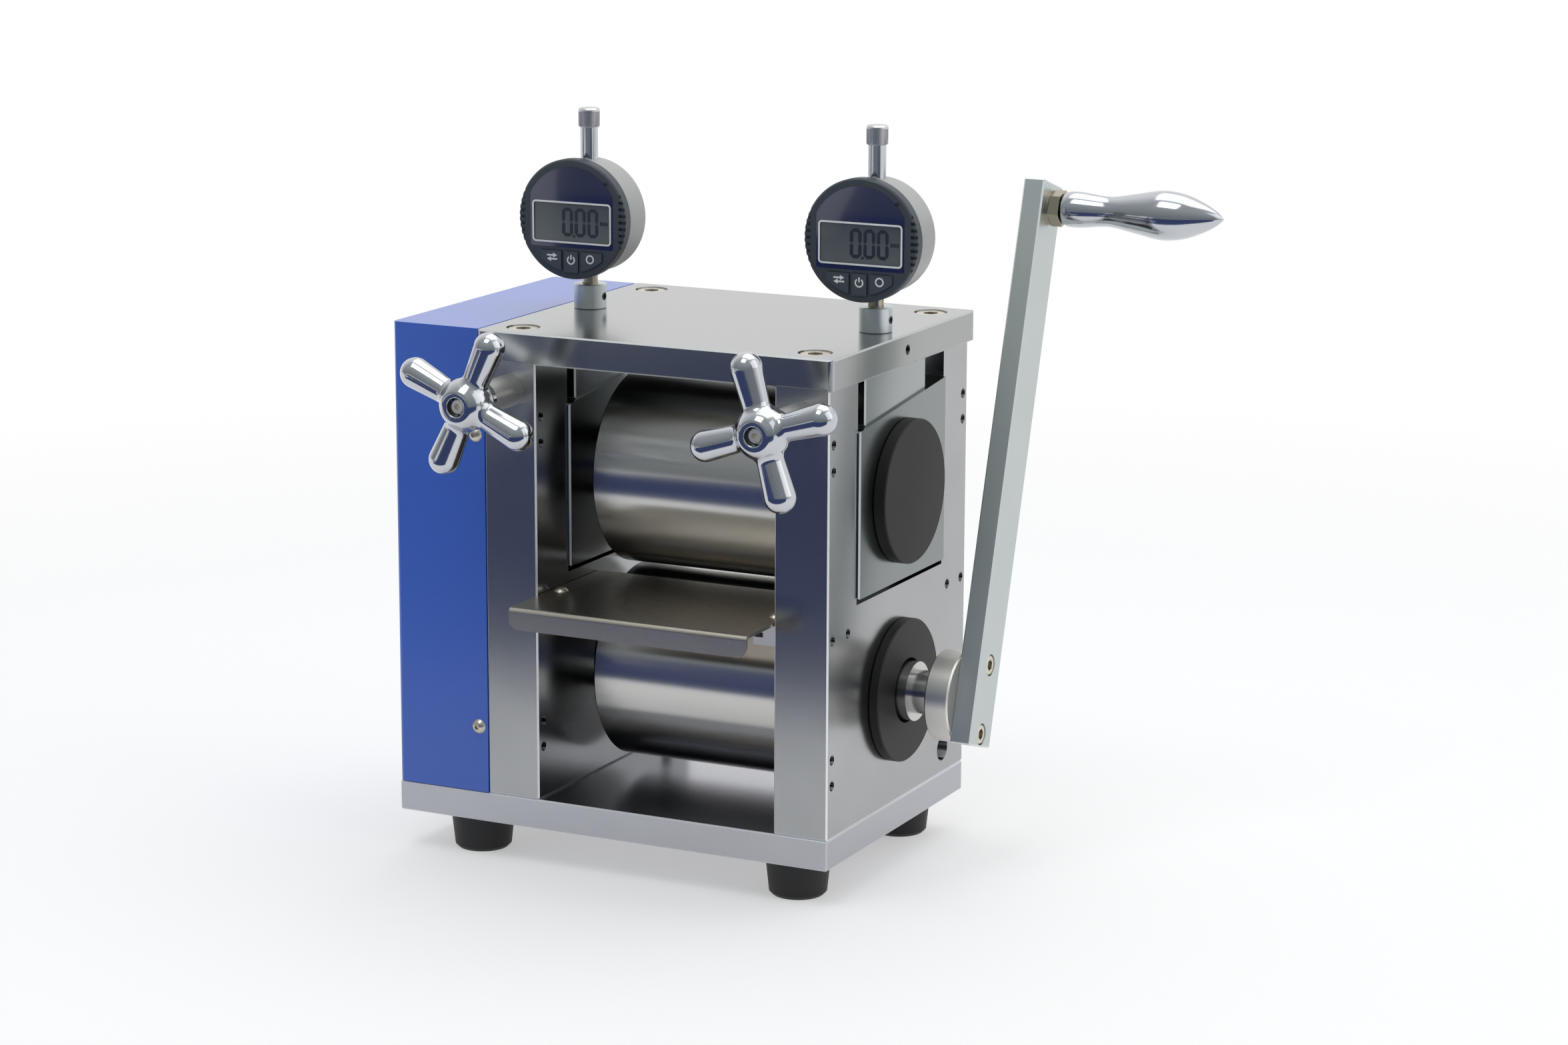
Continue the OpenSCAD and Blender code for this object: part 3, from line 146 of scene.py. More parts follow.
# Matte paper, lifted part of the way to white near the object, so that its shadow stays,
# and all the way further off
floor_paper, tree, output = new_material("studio_paper")
paper = add(tree, "ShaderNodeBsdfPrincipled", {"Base Color": linear(FLOOR_COLOUR), "Roughness": 0.85})
glow = add(tree, "ShaderNodeEmission", {"Color": linear(WHITE), "Strength": 1.0})
path = add(tree, "ShaderNodeLightPath")
seen = add(tree, "ShaderNodeMath", {"operation": "MAXIMUM"},
           {0: path.outputs["Is Camera Ray"], 1: path.outputs["Is Glossy Ray"]})
seen = add(tree, "ShaderNodeMath", {"operation": "MAXIMUM"},
           {0: seen.outputs[0], 1: path.outputs["Is Transmission Ray"]})
place = add(tree, "ShaderNodeTexCoord")
away = add(tree, "ShaderNodeVectorMath", {"operation": "LENGTH"}, {0: place.outputs["Object"]})
far = add(tree, "ShaderNodeMapRange",
          {"From Min": PAPER_UNTIL, "From Max": WHITE_FROM, "To Min": WHITE_SHARE_NEAR},
          {"Value": away.outputs["Value"]})
share = add(tree, "ShaderNodeMath", {"operation": "MULTIPLY"}, {0: seen.outputs[0], 1: far.outputs[0]})
surface = add(tree, "ShaderNodeMixShader", links={
    0: share.outputs[0], 1: paper.outputs[0], 2: glow.outputs[0]})
tree.links.new(surface.outputs[0], output.inputs["Surface"])
flat_sheet("studio_floor", [
    (-FLOOR_HALF, -FLOOR_HALF, 0), (FLOOR_HALF, -FLOOR_HALF, 0),
    (FLOOR_HALF, FLOOR_HALF, 0), (-FLOOR_HALF, FLOOR_HALF, 0),
], floor_paper)

SCREEN_COLOUR = "#424d74"
SCREEN_Y = -0.4
SCREEN_TOP = [(-0.62, 0.11), (-0.34, 0.13), (-0.25, 0.2), (0.75, 0.24)]
CARPET_NEAR, CARPET_FAR, CARPET_HALF = -0.95, -2.18, 3.0
WALL_COLOUR, WALL_HIGH = "#868c8f", 0.5
CARD_Y = -1.0
LEFT_CARD = [(-1.2, 0.12), (-0.695, 0.12), (-0.69, 0.23), (-1.2, 0.23)]
RIGHT_CARD = [(-0.6, 0.15), (-0.45, 0.165), (-0.415, 0.23), (-0.6, 0.23)]

# The cloth gives the navy band in the metal, the wall its grey and the cards its highlights
screen_cloth = even_glow("navy_screen_cloth", SCREEN_COLOUR)
wall_paint = even_glow("grey_wall_paint", WALL_COLOUR)
white_card = even_glow("white_card", WHITE)
reflected = [
    flat_sheet("left_white_card", [(x, CARD_Y, z) for x, z in LEFT_CARD], white_card),
    flat_sheet("right_white_card", [(x, CARD_Y, z) for x, z in RIGHT_CARD], white_card),
    flat_sheet("navy_screen", [(x, SCREEN_Y, 0) for x, _ in reversed(SCREEN_TOP)]
               + [(x, SCREEN_Y, z) for x, z in SCREEN_TOP], screen_cloth),
    flat_sheet("navy_carpet", [
        (-CARPET_HALF, CARPET_FAR, MM), (CARPET_HALF, CARPET_FAR, MM),
        (CARPET_HALF, CARPET_NEAR, MM), (-CARPET_HALF, CARPET_NEAR, MM)], screen_cloth),
    flat_sheet("grey_wall", [
        (-CARPET_HALF, CARPET_FAR, 0), (CARPET_HALF, CARPET_FAR, 0),
        (CARPET_HALF, CARPET_FAR, WALL_HIGH), (-CARPET_HALF, CARPET_FAR, WALL_HIGH)], wall_paint),
]
for sheet in reflected:
    sheet.visible_camera = False
    sheet.visible_diffuse = False
    sheet.visible_shadow = False

# The room behind the camera is grey, darker near the floor; behind the object it is white.
# The four limits are parts of the look direction: how steeply it rises, and how far it
# points to the back
ROOM_LOW, ROOM_HIGH = "#868c8f", "#b0b5b6"
LOW_UNTIL, HIGH_FROM = 0.05, 0.7
FRONT_UNTIL, BACK_FROM = -0.35, 0.35
world = bpy.data.worlds.new("studio")
world.use_nodes = True
scene.world = world
tree = world.node_tree
tree.nodes.clear()
path = add(tree, "ShaderNodeLightPath")
where = add(tree, "ShaderNodeTexCoord")
axes = add(tree, "ShaderNodeSeparateXYZ", links={"Vector": where.outputs["Generated"]})
rise = add(tree, "ShaderNodeMapRange", {"From Min": LOW_UNTIL, "From Max": HIGH_FROM},
           {"Value": axes.outputs["Z"]})
front_room = add(tree, "ShaderNodeMix", {"data_type": "RGBA", 6: linear(ROOM_LOW), 7: linear(ROOM_HIGH)},
                 {0: rise.outputs["Result"]})
back_share = add(tree, "ShaderNodeMapRange", {"From Min": FRONT_UNTIL, "From Max": BACK_FROM},
                 {"Value": axes.outputs["Y"]})
room = add(tree, "ShaderNodeMix", {"data_type": "RGBA", 7: linear(WHITE)},
           {0: back_share.outputs["Result"], 6: front_room.outputs[2]})
room_light = add(tree, "ShaderNodeBackground", {"Strength": 1.0}, {"Color": room.outputs[2]})
white = add(tree, "ShaderNodeBackground", {"Color": linear(WHITE), "Strength": 1.0})
around = add(tree, "ShaderNodeMixShader", links={
    0: path.outputs["Is Camera Ray"], 1: room_light.outputs[0], 2: white.outputs[0]})
add(tree, "ShaderNodeOutputWorld", links={"Surface": around.outputs[0]})

# Each lamp's name, place, aim, side in metres and power in watts
LAMPS = [
    ("key_lamp", (-0.2, -1.2, 2.4), (0, 0, 0.15), 1.1, 14),
    ("right_lamp", (2.1, 0.0, 1.5), (0, 0, 0.15), 2.0, 8.5),
    ("top_lamp", (0.1, 0.6, 2.4), (0, 0, 0.2), 2.0, 14),
]
for name, lamp_at, aim, size, power in LAMPS:
    lamp = bpy.data.lights.new(name, "AREA")
    lamp.shape = "SQUARE"
    lamp.size = size
    lamp.energy = power
    holder = bpy.data.objects.new(name, lamp)
    holder.location = lamp_at
    holder.rotation_euler = (Vector(aim) - Vector(lamp_at)).to_track_quat("-Z", "Y").to_euler()
    scene.collection.objects.link(holder)


# Frame plates: base, two side plates and the top plate, screwed together from below and
# above. Mild steel, surface ground and clear zinc plated, so each is a soft mirror with
# fine grinding lines and broken edges.

# A line is LINE_STRETCH times as long as it is wide. A face is a broken edge where no part
# of its normal reaches FLAT_FACE_FROM
LINE_STRETCH = 60
CLOUD_MM = 35
GLOSSIEST_SHARE, DULLEST_SHARE = 0.9, 1.12
RELIEF_DEEP = 0.2 * MM
FLAT_FACE_FROM = 0.9
EDGE_ROUGH = 0.55
QUARTER_TURN = 0.25


def lined_metal(name, colour, rough, line_mm, line_way, cloud=0.06, bump=0.02, lean=0.0,
                filed_edge_and_highlight=None, smear=0.0):
    """Machined, drawn or plated metal: fine lines along line_way and faint clouds in its tone.

    An edge colour makes the broken edges paler and duller, as filing does; the paleness is also
    a painted highlight along them. A smear draws the reflections out along x, as lines that run
    round an axis do.
    """
    material, tree, output = new_material(name)
    place = add(tree, "ShaderNodeTexCoord")
    line_size = [line_mm * MM * (LINE_STRETCH if axis == line_way else 1) for axis in "xyz"]
    along = add(tree, "ShaderNodeMapping",
                {"vector_type": "TEXTURE", "Scale": line_size, "Rotation": (lean, 0, 0)},
                {"Vector": place.outputs["Object"]})
    lines = add(tree, "ShaderNodeTexNoise", {"Scale": 1.0, "Detail": 2.0}, {"Vector": along.outputs[0]})
    clouds = add(tree, "ShaderNodeTexNoise",
                 {"Scale": 1 / (CLOUD_MM * MM), "Detail": 3.0, "Roughness": 0.5},
                 {"Vector": place.outputs["Object"]})
    tone = add(tree, "ShaderNodeMapRange", {"To Min": 1 - cloud, "To Max": 1 + cloud / 2},
               {"Value": clouds.outputs["Fac"]})
    base = add(tree, "ShaderNodeMix",
               {"data_type": "RGBA", "blend_type": "MULTIPLY", 0: 1.0, 6: linear(colour)},
               {7: tone.outputs[0]})
    shine = add(tree, "ShaderNodeMapRange",
                {"To Min": rough * GLOSSIEST_SHARE, "To Max": rough * DULLEST_SHARE},
                {"Value": lines.outputs["Fac"]})
    tinted, dulled = base.outputs[2], shine.outputs["Result"]
    if filed_edge_and_highlight:
        facing = add(tree, "ShaderNodeVectorMath", {"operation": "ABSOLUTE"},
                     {0: place.outputs["Normal"]})
        parts = add(tree, "ShaderNodeSeparateXYZ", links={"Vector": facing.outputs[0]})
        flat = add(tree, "ShaderNodeMath", {"operation": "MAXIMUM"},
                   {0: parts.outputs["X"], 1: parts.outputs["Y"]})
        flat = add(tree, "ShaderNodeMath", {"operation": "MAXIMUM"},
                   {0: flat.outputs[0], 1: parts.outputs["Z"]})
        broken = add(tree, "ShaderNodeMath", {"operation": "LESS_THAN", 1: FLAT_FACE_FROM},
                     {0: flat.outputs[0]})
        # The broken edges take the edge colour: partly the paler tone of filing, partly a painted
        # highlight
        tinted = add(tree, "ShaderNodeMix", {"data_type": "RGBA", 7: linear(filed_edge_and_highlight)},
                     {0: broken.outputs[0], 6: tinted}).outputs[2]
        dulled = add(tree, "ShaderNodeMix", {"data_type": "FLOAT", 3: EDGE_ROUGH},
                     {0: broken.outputs[0], 2: dulled}).outputs[0]
    relief = add(tree, "ShaderNodeBump", {"Strength": bump, "Distance": RELIEF_DEEP},
                 {"Height": lines.outputs["Fac"]})
    round_way = add(tree, "ShaderNodeTangent", {"direction_type": "RADIAL", "axis": "X"})
    metal = add(tree, "ShaderNodeBsdfPrincipled",
                {"Metallic": 1.0, "Anisotropic": smear, "Anisotropic Rotation": QUARTER_TURN},
                {"Base Color": tinted, "Roughness": dulled, "Normal": relief.outputs[0],
                 "Tangent": round_way.outputs[0]})
    tree.links.new(metal.outputs["BSDF"], output.inputs["Surface"])
    return material


def dress(material, *names):
    """Gives carried-over CAD nodes their material."""
    for name in names:
        mesh = nodes[name].data
        mesh.materials.clear()
        mesh.materials.append(material)


# The eye gets a satin mirror with a faint streak, upright on the side plates and lengthwise on
# the others, and pale lines along the broken edges, partly a painted highlight. Real grinding
# lines, at 0.05 mm or less, are too fine to show, so here and below lines are drawn at 0.15 mm or more
plated_plate = lined_metal("zinc_plated_ground_steel", "#a8aaab", 0.22, 0.35, "z", cloud=0.12,
                           filed_edge_and_highlight="#f8f9fa")
plated_top = lined_metal("zinc_plated_top_plate", "#a2a4a3", 0.19, 0.35, "x", cloud=0.03, bump=0.01,
                         filed_edge_and_highlight="#c6c9ca")
plated_base = lined_metal("zinc_plated_base_plate", "#b2b3b9", 0.22, 0.35, "x", filed_edge_and_highlight="#d0d3d6")
dress(plated_plate, "side_plate_left", "side_plate_right")
dress(plated_top, "top_plate")
dress(plated_base, "base_plate")


# Feet. Four tapered mouldings of black natural rubber, each held under the base by a
# screw. Their matte skin holds dust, so the black is a little uneven.

# The mould's own grain, near 0.3 mm, is too fine to show, so it is drawn at over 1 mm
rubber, tree, output = new_material("moulded_black_rubber")
grain_mm = 1.1
place = add(tree, "ShaderNodeTexCoord")
grain = add(tree, "ShaderNodeTexNoise", {"Scale": 1 / (grain_mm * MM), "Detail": 3.0},
            {"Vector": place.outputs["Object"]})
relief = add(tree, "ShaderNodeBump", {"Strength": 0.15, "Distance": RELIEF_DEEP},
             {"Height": grain.outputs["Fac"]})
dust = add(tree, "ShaderNodeValToRGB", links={"Fac": grain.outputs["Fac"]})
dust.color_ramp.elements[0].color = linear("#0d0d0e")
dust.color_ramp.elements[1].color = linear("#1c1c1e")
skin = add(tree, "ShaderNodeBsdfPrincipled", {"Roughness": 0.55},
           {"Base Color": dust.outputs["Color"], "Normal": relief.outputs[0]})
tree.links.new(skin.outputs["BSDF"], output.inputs["Surface"])
dress(rubber, "rubber_feet")


# Gear cover. Folded sheet steel over the gears, screwed to four lugs. It is powder coated
# blue: a fine orange peel, and a clear surface gloss that turns pale at a low angle.

# The peel is at its real size, and the shade drifts slightly over a hand's width
coat, tree, output = new_material("blue_powder_coat")
orange_peel_mm = 1.4
drift_mm = 110
place = add(tree, "ShaderNodeTexCoord")
peel = add(tree, "ShaderNodeTexNoise", {"Scale": 1 / (orange_peel_mm * MM), "Detail": 2.0},
           {"Vector": place.outputs["Object"]})
relief = add(tree, "ShaderNodeBump", {"Strength": 0.12, "Distance": RELIEF_DEEP},
             {"Height": peel.outputs["Fac"]})
drift = add(tree, "ShaderNodeTexNoise", {"Scale": 1 / (drift_mm * MM), "Detail": 2.0},
            {"Vector": place.outputs["Object"]})
shade = add(tree, "ShaderNodeValToRGB", links={"Fac": drift.outputs["Fac"]})
shade.color_ramp.elements[0].color = linear("#0a4eb5")
shade.color_ramp.elements[1].color = linear("#1056c1")
paint = add(tree, "ShaderNodeBsdfPrincipled",
            {"Roughness": 0.4, "Coat Weight": 0.9, "Coat Roughness": 0.3},
            {"Base Color": shade.outputs["Color"], "Normal": relief.outputs[0]})
tree.links.new(paint.outputs["BSDF"], output.inputs["Surface"])
dress(coat, "gear_cover")

# The CAD node is sharp along the top, so its edges are rounded here as a fold and a coat
# round them
FOLD_R, FOLD_STEPS, FOLD_MIN_DEG = 1.1, 4, 60
SAME_POINT = 0.001 * MM
weld = nodes["gear_cover"].modifiers.new("joined_corners", "WELD")
weld.merge_threshold = SAME_POINT
fold = nodes["gear_cover"].modifiers.new("soft_folds", "BEVEL")
fold.width = FOLD_R * MM
fold.segments = FOLD_STEPS
fold.angle_limit = math.radians(FOLD_MIN_DEG)
fold.harden_normals = True


# Rolls. Each is one piece of steel with its shoulders and journals, hard chromed, then
# ground and lapped to a soft mirror. Grinding goes round a roll, which draws its
# reflections out along the axis into long bands.

roll_metal = lined_metal("ground_hard_chrome", "#c4c3c1", 0.22, 0.3, "y", cloud=0.03, bump=0.006,
                         smear=0.75)
dress(roll_metal, "lower_roll", "upper_roll")


# Bearing caps. Turned steel flanges, fitted into the bearing seats: a closed disc over
# the free end of the upper roll, and rings where a shaft comes through.

BLACKED_METALLIC = 0.35


def speckled(name, dark, pale, rough, speck_mm, metallic=0.0):
    """A blacked, painted, printed or moulded surface: a fine speckle in tone and relief.

    The real speckle is a tenth of a millimetre or less, too fine to show, so it is drawn coarser.
    """
    material, tree, output = new_material(name)
    place = add(tree, "ShaderNodeTexCoord")
    speck = add(tree, "ShaderNodeTexNoise", {"Scale": 1 / (speck_mm * MM), "Detail": 3.0},
                {"Vector": place.outputs["Object"]})
    tone = add(tree, "ShaderNodeValToRGB", links={"Fac": speck.outputs["Fac"]})
    tone.color_ramp.elements[0].color = linear(dark)
    tone.color_ramp.elements[1].color = linear(pale)
    relief = add(tree, "ShaderNodeBump", {"Strength": 0.08, "Distance": RELIEF_DEEP},
                 {"Height": speck.outputs["Fac"]})
    skin = add(tree, "ShaderNodeBsdfPrincipled", {"Roughness": rough, "Metallic": metallic},
               {"Base Color": tone.outputs["Color"], "Normal": relief.outputs[0]})
    tree.links.new(skin.outputs["BSDF"], output.inputs["Surface"])
    return material


# Black oxide on a turned face: nearly even and matte, with a faint metallic sheen
black_oxide = speckled("matte_black_oxide", "#1a1a19", "#232221", 0.52, 0.8, BLACKED_METALLIC)
dress(black_oxide, "lower_bearing_caps", "upper_bearing_caps")


# Ball bearings at the four journals, drawn as rings and a cage of balls. Their outer rings
# sit in the side plates or the bearing blocks. The steel is ground and polished, so it
# glints in the gaps.

bearing_steel = lined_metal("polished_bearing_steel", "#a5a19c", 0.22, 0.3, "x", cloud=0.03, bump=0.01)
dress(bearing_steel, "lower_outer_rings", "upper_outer_rings", "lower_inner_rings", "upper_inner_rings",
      "lower_ball_cages", "upper_ball_cages")


# Bearing blocks, wedges, cover lugs and feed brackets. Milled steel, surface ground and
# left unplated, so the blocks and wedges are darker than the plates. The brackets are
# left as milled, and scatter the light to a pale matte grey.

# Their pale edge colour is partly filing and partly a painted highlight on the broken edges
ground_block = lined_metal("surface_ground_steel", "#878c8d", 0.24, 0.35, "y", filed_edge_and_highlight="#d4d8d8")
ground_wedge = lined_metal("ground_wedge_steel", "#a0a4a5", 0.22, 0.35, "y", filed_edge_and_highlight="#d4d8d8")
bracket_steel = lined_metal("matte_milled_bracket", "#dcdde2", 0.6, 0.35, "y")
dress(ground_block, "bearing_block_left", "bearing_block_right")
dress(ground_wedge, "wedges", "cover_lugs")
dress(bracket_steel, "feed_brackets")


# Lift springs. Coiled spring wire under the bearing blocks, with an oily shine. They sit
# in the side plates and shorten or lengthen as the carriage goes down or up.

spring_wire = lined_metal("oiled_spring_wire", "#8f9092", 0.25, 0.2, "z", cloud=0.1)
low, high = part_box("lift_springs")
springs = new_object("coiled_springs", nodes["lift_springs"].data.copy())
springs.data.materials.clear()
springs.data.materials.append(spring_wire)
springs.data.shade_smooth()
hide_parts("lift_springs")
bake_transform(springs)


# Feed plates. Stainless sheet with the outer edge bent down, screwed on two brackets
# each. It is brushed lengthwise, so it has soft streaks and no clear mirror.

feed_sheet = lined_metal("brushed_stainless_sheet", "#c6bfb3", 0.28, 0.15, "x", cloud=0.08, bump=0.001)
dress(feed_sheet, "feed_plates")


# Gears and fasteners. Hobbed steel gears, left bare. Screws under the base and in deep
# holes, keys and retaining rings are black oxide. The heads in sight and the gear bolts
# are nickel plated, which looks warm beside the zinc.

gear_steel = lined_metal("hobbed_gear_steel", "#9a9b9c", 0.3, 0.4, "x")
dress(gear_steel, "drive_gear", "driven_gear")
dark_fastener = speckled("black_oxide_screws", "#1b1b1c", "#29292a", 0.4, 0.6, BLACKED_METALLIC)
dress(dark_fastener, "foot_screws", "side_plate_screws", "bracket_screws", "set_screws", "lower_keys",
      "driven_gear_key", "retaining_rings")
bright_fastener = lined_metal("nickel_plated_screws", "#d0cabb", 0.32, 0.3, "z")
dress(bright_fastener, "top_plate_screws", "button_head_screws", "crank_screws", "drive_gear_bolt",
      "driven_gear_bolt")


# Crank: hub, flat arm and handle axle. The hub is turned stainless with a satin face and
# the axle is nickel plated. The arm is bright drawn bar with a grey-green cast and fine
# lines along its length; two screws hold it on the hub.

turned_steel = lined_metal("turned_stainless", "#dedcd7", 0.38, 0.25, "y", cloud=0.04)
nickel = lined_metal("nickel_plate", "#aaa392", 0.2, 0.3, "z", cloud=0.02)
dress(turned_steel, "crank_hub")
dress(nickel, "handle_spindle")
ARM_LEAN_DEG = 17.2
# Its broken edges are paler, partly from filing and partly as a painted highlight
arm_steel = lined_metal("bright_drawn_bar", "#c4cbca", 0.42, 0.35, "z",
                        lean=math.radians(-ARM_LEAN_DEG), filed_edge_and_highlight="#e2e6e5")
dress(arm_steel, "crank_arm")


# Adjusting screws. Their shanks are turned nickel silver with a satin surface, which
# blurs what it mirrors to a pale sheen. They are threaded inside the wedges, and each
# carries a cross knob on its front end.

satin_shank = lined_metal("satin_nickel_silver", "#d6d5d1", 0.42, 0.3, "x", cloud=0.05)
dress(satin_shank, "adjusting_screw_left", "adjusting_screw_right")


# Crank handle. A waisted grip turned from steel and chrome plated: a hard mirror with
# only the faintest polishing haze. It spins on its axle.

KNURL_POINTS = 4


def turned(outline, centre, axis, steps, ridge_deep=0.0, closed=False):
    """A turned form from (radius, height) pairs in mm. A third entry makes a point hex or knurled."""
    made = bmesh.new()
    turn = Vector((0, 0, 1)).rotation_difference(Vector(axis)).to_matrix()
    rings = []
    for radius, height, *form in outline:
        ring = []
        for i in range(1 if radius == 0 else steps):
            angle = 2 * math.pi * i / steps
            reach = radius
            # A hex keeps the radius at its flats, and a knurl has two points of every four
            # set back, as its grooves
            if form == ["hex"]:
                reach = radius / math.cos(angle % (math.pi / 3) - math.pi / 6)
            if form == ["knurl"] and i % KNURL_POINTS in (1, 2):
                reach = radius - ridge_deep
            local = Vector((reach * math.cos(angle), reach * math.sin(angle), height))
            ring.append(made.verts.new(centre + turn @ local * MM))
        rings.append(ring)
    pairs = list(zip(rings, rings[1:]))
    if closed:
        pairs.append((rings[-1], rings[0]))
    for low, high in pairs:
        for i in range(steps):
            corners = [low[i % len(low)], low[(i + 1) % len(low)],
                       high[(i + 1) % len(high)], high[i % len(high)]]
            corners = list(dict.fromkeys(corners))
            if len(corners) > 2:
                made.faces.new(corners)
    return made


def piece(name, made, material, body, sharp_deg=35):
    """An object from a bmesh, which rides on a body and takes the given material."""
    bmesh.ops.recalc_face_normals(made, faces=made.faces)
    mesh = bpy.data.meshes.new(name)
    made.to_mesh(mesh)
    made.free()
    mesh.materials.append(material)
    mesh.shade_smooth()
    mesh.set_sharp_from_angle(angle=math.radians(sharp_deg))
    item = new_object(name, mesh)
    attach(item, body)
    return item


def smooth_through(points, steps):
    """More points along a smooth curve that passes through the given ones."""
    ends = [points[0], *points, points[-1]]
    curve = []
    for a, b, c, d in zip(ends, ends[1:], ends[2:], ends[3:]):
        for k in range(steps):
            t = k / steps
            curve.append(tuple(
                (2 * q + (r - p) * t + (2 * p - 5 * q + 4 * r - s) * t * t
                 + (3 * q - p - 3 * r + s) * t ** 3) / 2
                for p, q, r, s in zip(a, b, c, d)))
    return [*curve, points[-1]]


chrome = lined_metal("polished_chrome_plate", "#c3c6cb", 0.12, 0.5, "x", cloud=0.02, bump=0.001)

# The outline, as shares of the largest radius and of the length
HANDLE_RADIUS_SHARES = [0.6, 0.68, 0.73, 0.72, 0.615, 0.8, 1, 0.91, 0.64, 0.31, 0]
HANDLE_PLACE_SHARES = [0, 0.015, 0.05, 0.12, 0.285, 0.45, 0.615, 0.75, 0.86, 0.95, 1]
OUTLINE_STEPS, HANDLE_STEPS, HANDLE_SHARP_DEG = 8, 120, 60
low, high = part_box("crank_handle")
handle_l, handle_r = (high.x - low.x) / MM, (high.z - low.z) / 2 / MM
grip = [(r * handle_r, h * handle_l) for r, h in zip(HANDLE_RADIUS_SHARES, HANDLE_PLACE_SHARES)]
grip_outline = [(0, 0), *smooth_through(grip, OUTLINE_STEPS)]
handle_end = Vector((low.x, (low.y + high.y) / 2, (low.z + high.z) / 2))
handle = piece("turned_handle", turned(grip_outline, handle_end, (1, 0, 0), HANDLE_STEPS), chrome,
               "handle", HANDLE_SHARP_DEG)
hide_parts("crank_handle")


# Cross knobs on the adjusting screws. Zinc castings, polished and chrome plated, with
# small fillets where the four arms leave the ball. A nickel socket screw holds each.

# A ball with a flat, sunk front, four arms that widen outwards, and a neck behind with a
# bore for the shank
BALL_R, FLAT_R = 13.5, 7.5
ARM_ROOT_R, ARM_TIP_R, ARM_L = 5.75, 7.75, 31.25
FLAT_AT = math.sqrt(BALL_R ** 2 - FLAT_R ** 2)
SINK_R, SINK_DEEP = 4.65, 6.0
NECK_R, NECK_BACK, NECK_FRONT = 9.5, -13.0, -9.5
STUB_R = 5.02
FILLET, EDGE = 2.4, 0.5
VOXEL, PROBE = 0.55, 0.01
PULLS, LONGEST_PULL, LEAST_STEEP = 8, 0.6, 0.2
NEVER_SHARP_DEG = 180
KNOB_TURN_DEG = {"left": -24.5, "right": 16.5}


def soft_max(a, b, k):
    """The larger of two distances, with the corner between them rounded over k."""
    h = np.clip(0.5 + (a - b) / (2 * k), 0, 1)
    return b + (a - b) * h + k * h * (1 - h)


def knob_distance(p):
    """Distance in mm from the knob's skin; p is in the knob's own frame, with z to the front."""
    out = np.linalg.norm(p, axis=1) - BALL_R
    slope = (ARM_ROOT_R - ARM_TIP_R) / ARM_L
    lean = math.sqrt(1 - slope ** 2)
    for way in ((1, 0), (0, 1), (-1, 0), (0, -1)):
        reach = p[:, 0] * way[0] + p[:, 1] * way[1]
        off = np.hypot(p[:, 0] * way[1] - p[:, 1] * way[0], p[:, 2])
        spot = lean * reach - slope * off
        arm = np.where(spot < 0, np.hypot(off, reach) - ARM_ROOT_R,
                       np.where(spot > lean * ARM_L, np.hypot(off, reach - ARM_L) - ARM_TIP_R,
                                lean * off + slope * reach - ARM_ROOT_R))
        out = -soft_max(-out, -arm, FILLET)
    around = np.hypot(p[:, 0], p[:, 1])
    neck = np.maximum(around - NECK_R, np.maximum(NECK_BACK - p[:, 2], p[:, 2] - NECK_FRONT))
    out = -soft_max(-out, -neck, EDGE)
    out = soft_max(out, p[:, 2] - FLAT_AT, EDGE)
    out = soft_max(out, -np.maximum(around - SINK_R, FLAT_AT - SINK_DEEP - p[:, 2]), EDGE)
    return np.maximum(out, -np.maximum(around - STUB_R, p[:, 2]))


def knob_slope(p):
    """How fast the distance from the knob's skin grows along each of the three axes."""
    return np.stack([(knob_distance(p + PROBE * d) - knob_distance(p - PROBE * d)) / (2 * PROBE)
                     for d in np.eye(3)], axis=1)


def knob_mesh(node, centre, turn):
    """The node's outer solid, remeshed finely and drawn onto the filleted skin, and its normals."""
    plain = bmesh.new()
    plain.from_mesh(nodes[node].data)
    bmesh.ops.remove_doubles(plain, verts=plain.verts, dist=SAME_POINT)
    start = max(plain.verts, key=lambda v: (v.co - centre).length)
    outer, waiting = {start}, [start]
    while waiting:
        vert = waiting.pop()
        for other in [e.other_vert(vert) for e in vert.link_edges]:
            if other not in outer:
                outer.add(other)
                waiting.append(other)
    bmesh.ops.delete(plain, geom=[v for v in plain.verts if v not in outer], context="VERTS")
    mesh = bpy.data.meshes.new("knob_start")
    plain.to_mesh(mesh)
    plain.free()
    start_object = new_object("knob_start", mesh)
    remesh = start_object.modifiers.new("skin", "REMESH")
    remesh.mode = "VOXEL"
    remesh.voxel_size = VOXEL * MM
    graph = bpy.context.evaluated_depsgraph_get()
    fine = bpy.data.meshes.new_from_object(start_object.evaluated_get(graph))
    bpy.data.objects.remove(start_object)
    points = np.array([v.co for v in fine.vertices])
    own = (points - np.array(centre)) @ np.array(turn) / MM
    for _ in range(PULLS):
        pull = np.clip(knob_distance(own), -LONGEST_PULL, LONGEST_PULL)
        slope = knob_slope(own)
        steep = np.maximum((slope ** 2).sum(1), LEAST_STEEP)
        own -= pull[:, None] * slope / steep[:, None]
    fine.vertices.foreach_set("co", ((own @ np.array(turn).T) * MM + np.array(centre)).ravel())
    made = bmesh.new()
    made.from_mesh(fine)
    outward = knob_slope(own)
    return made, (outward / np.linalg.norm(outward, axis=1)[:, None]) @ np.array(turn).T
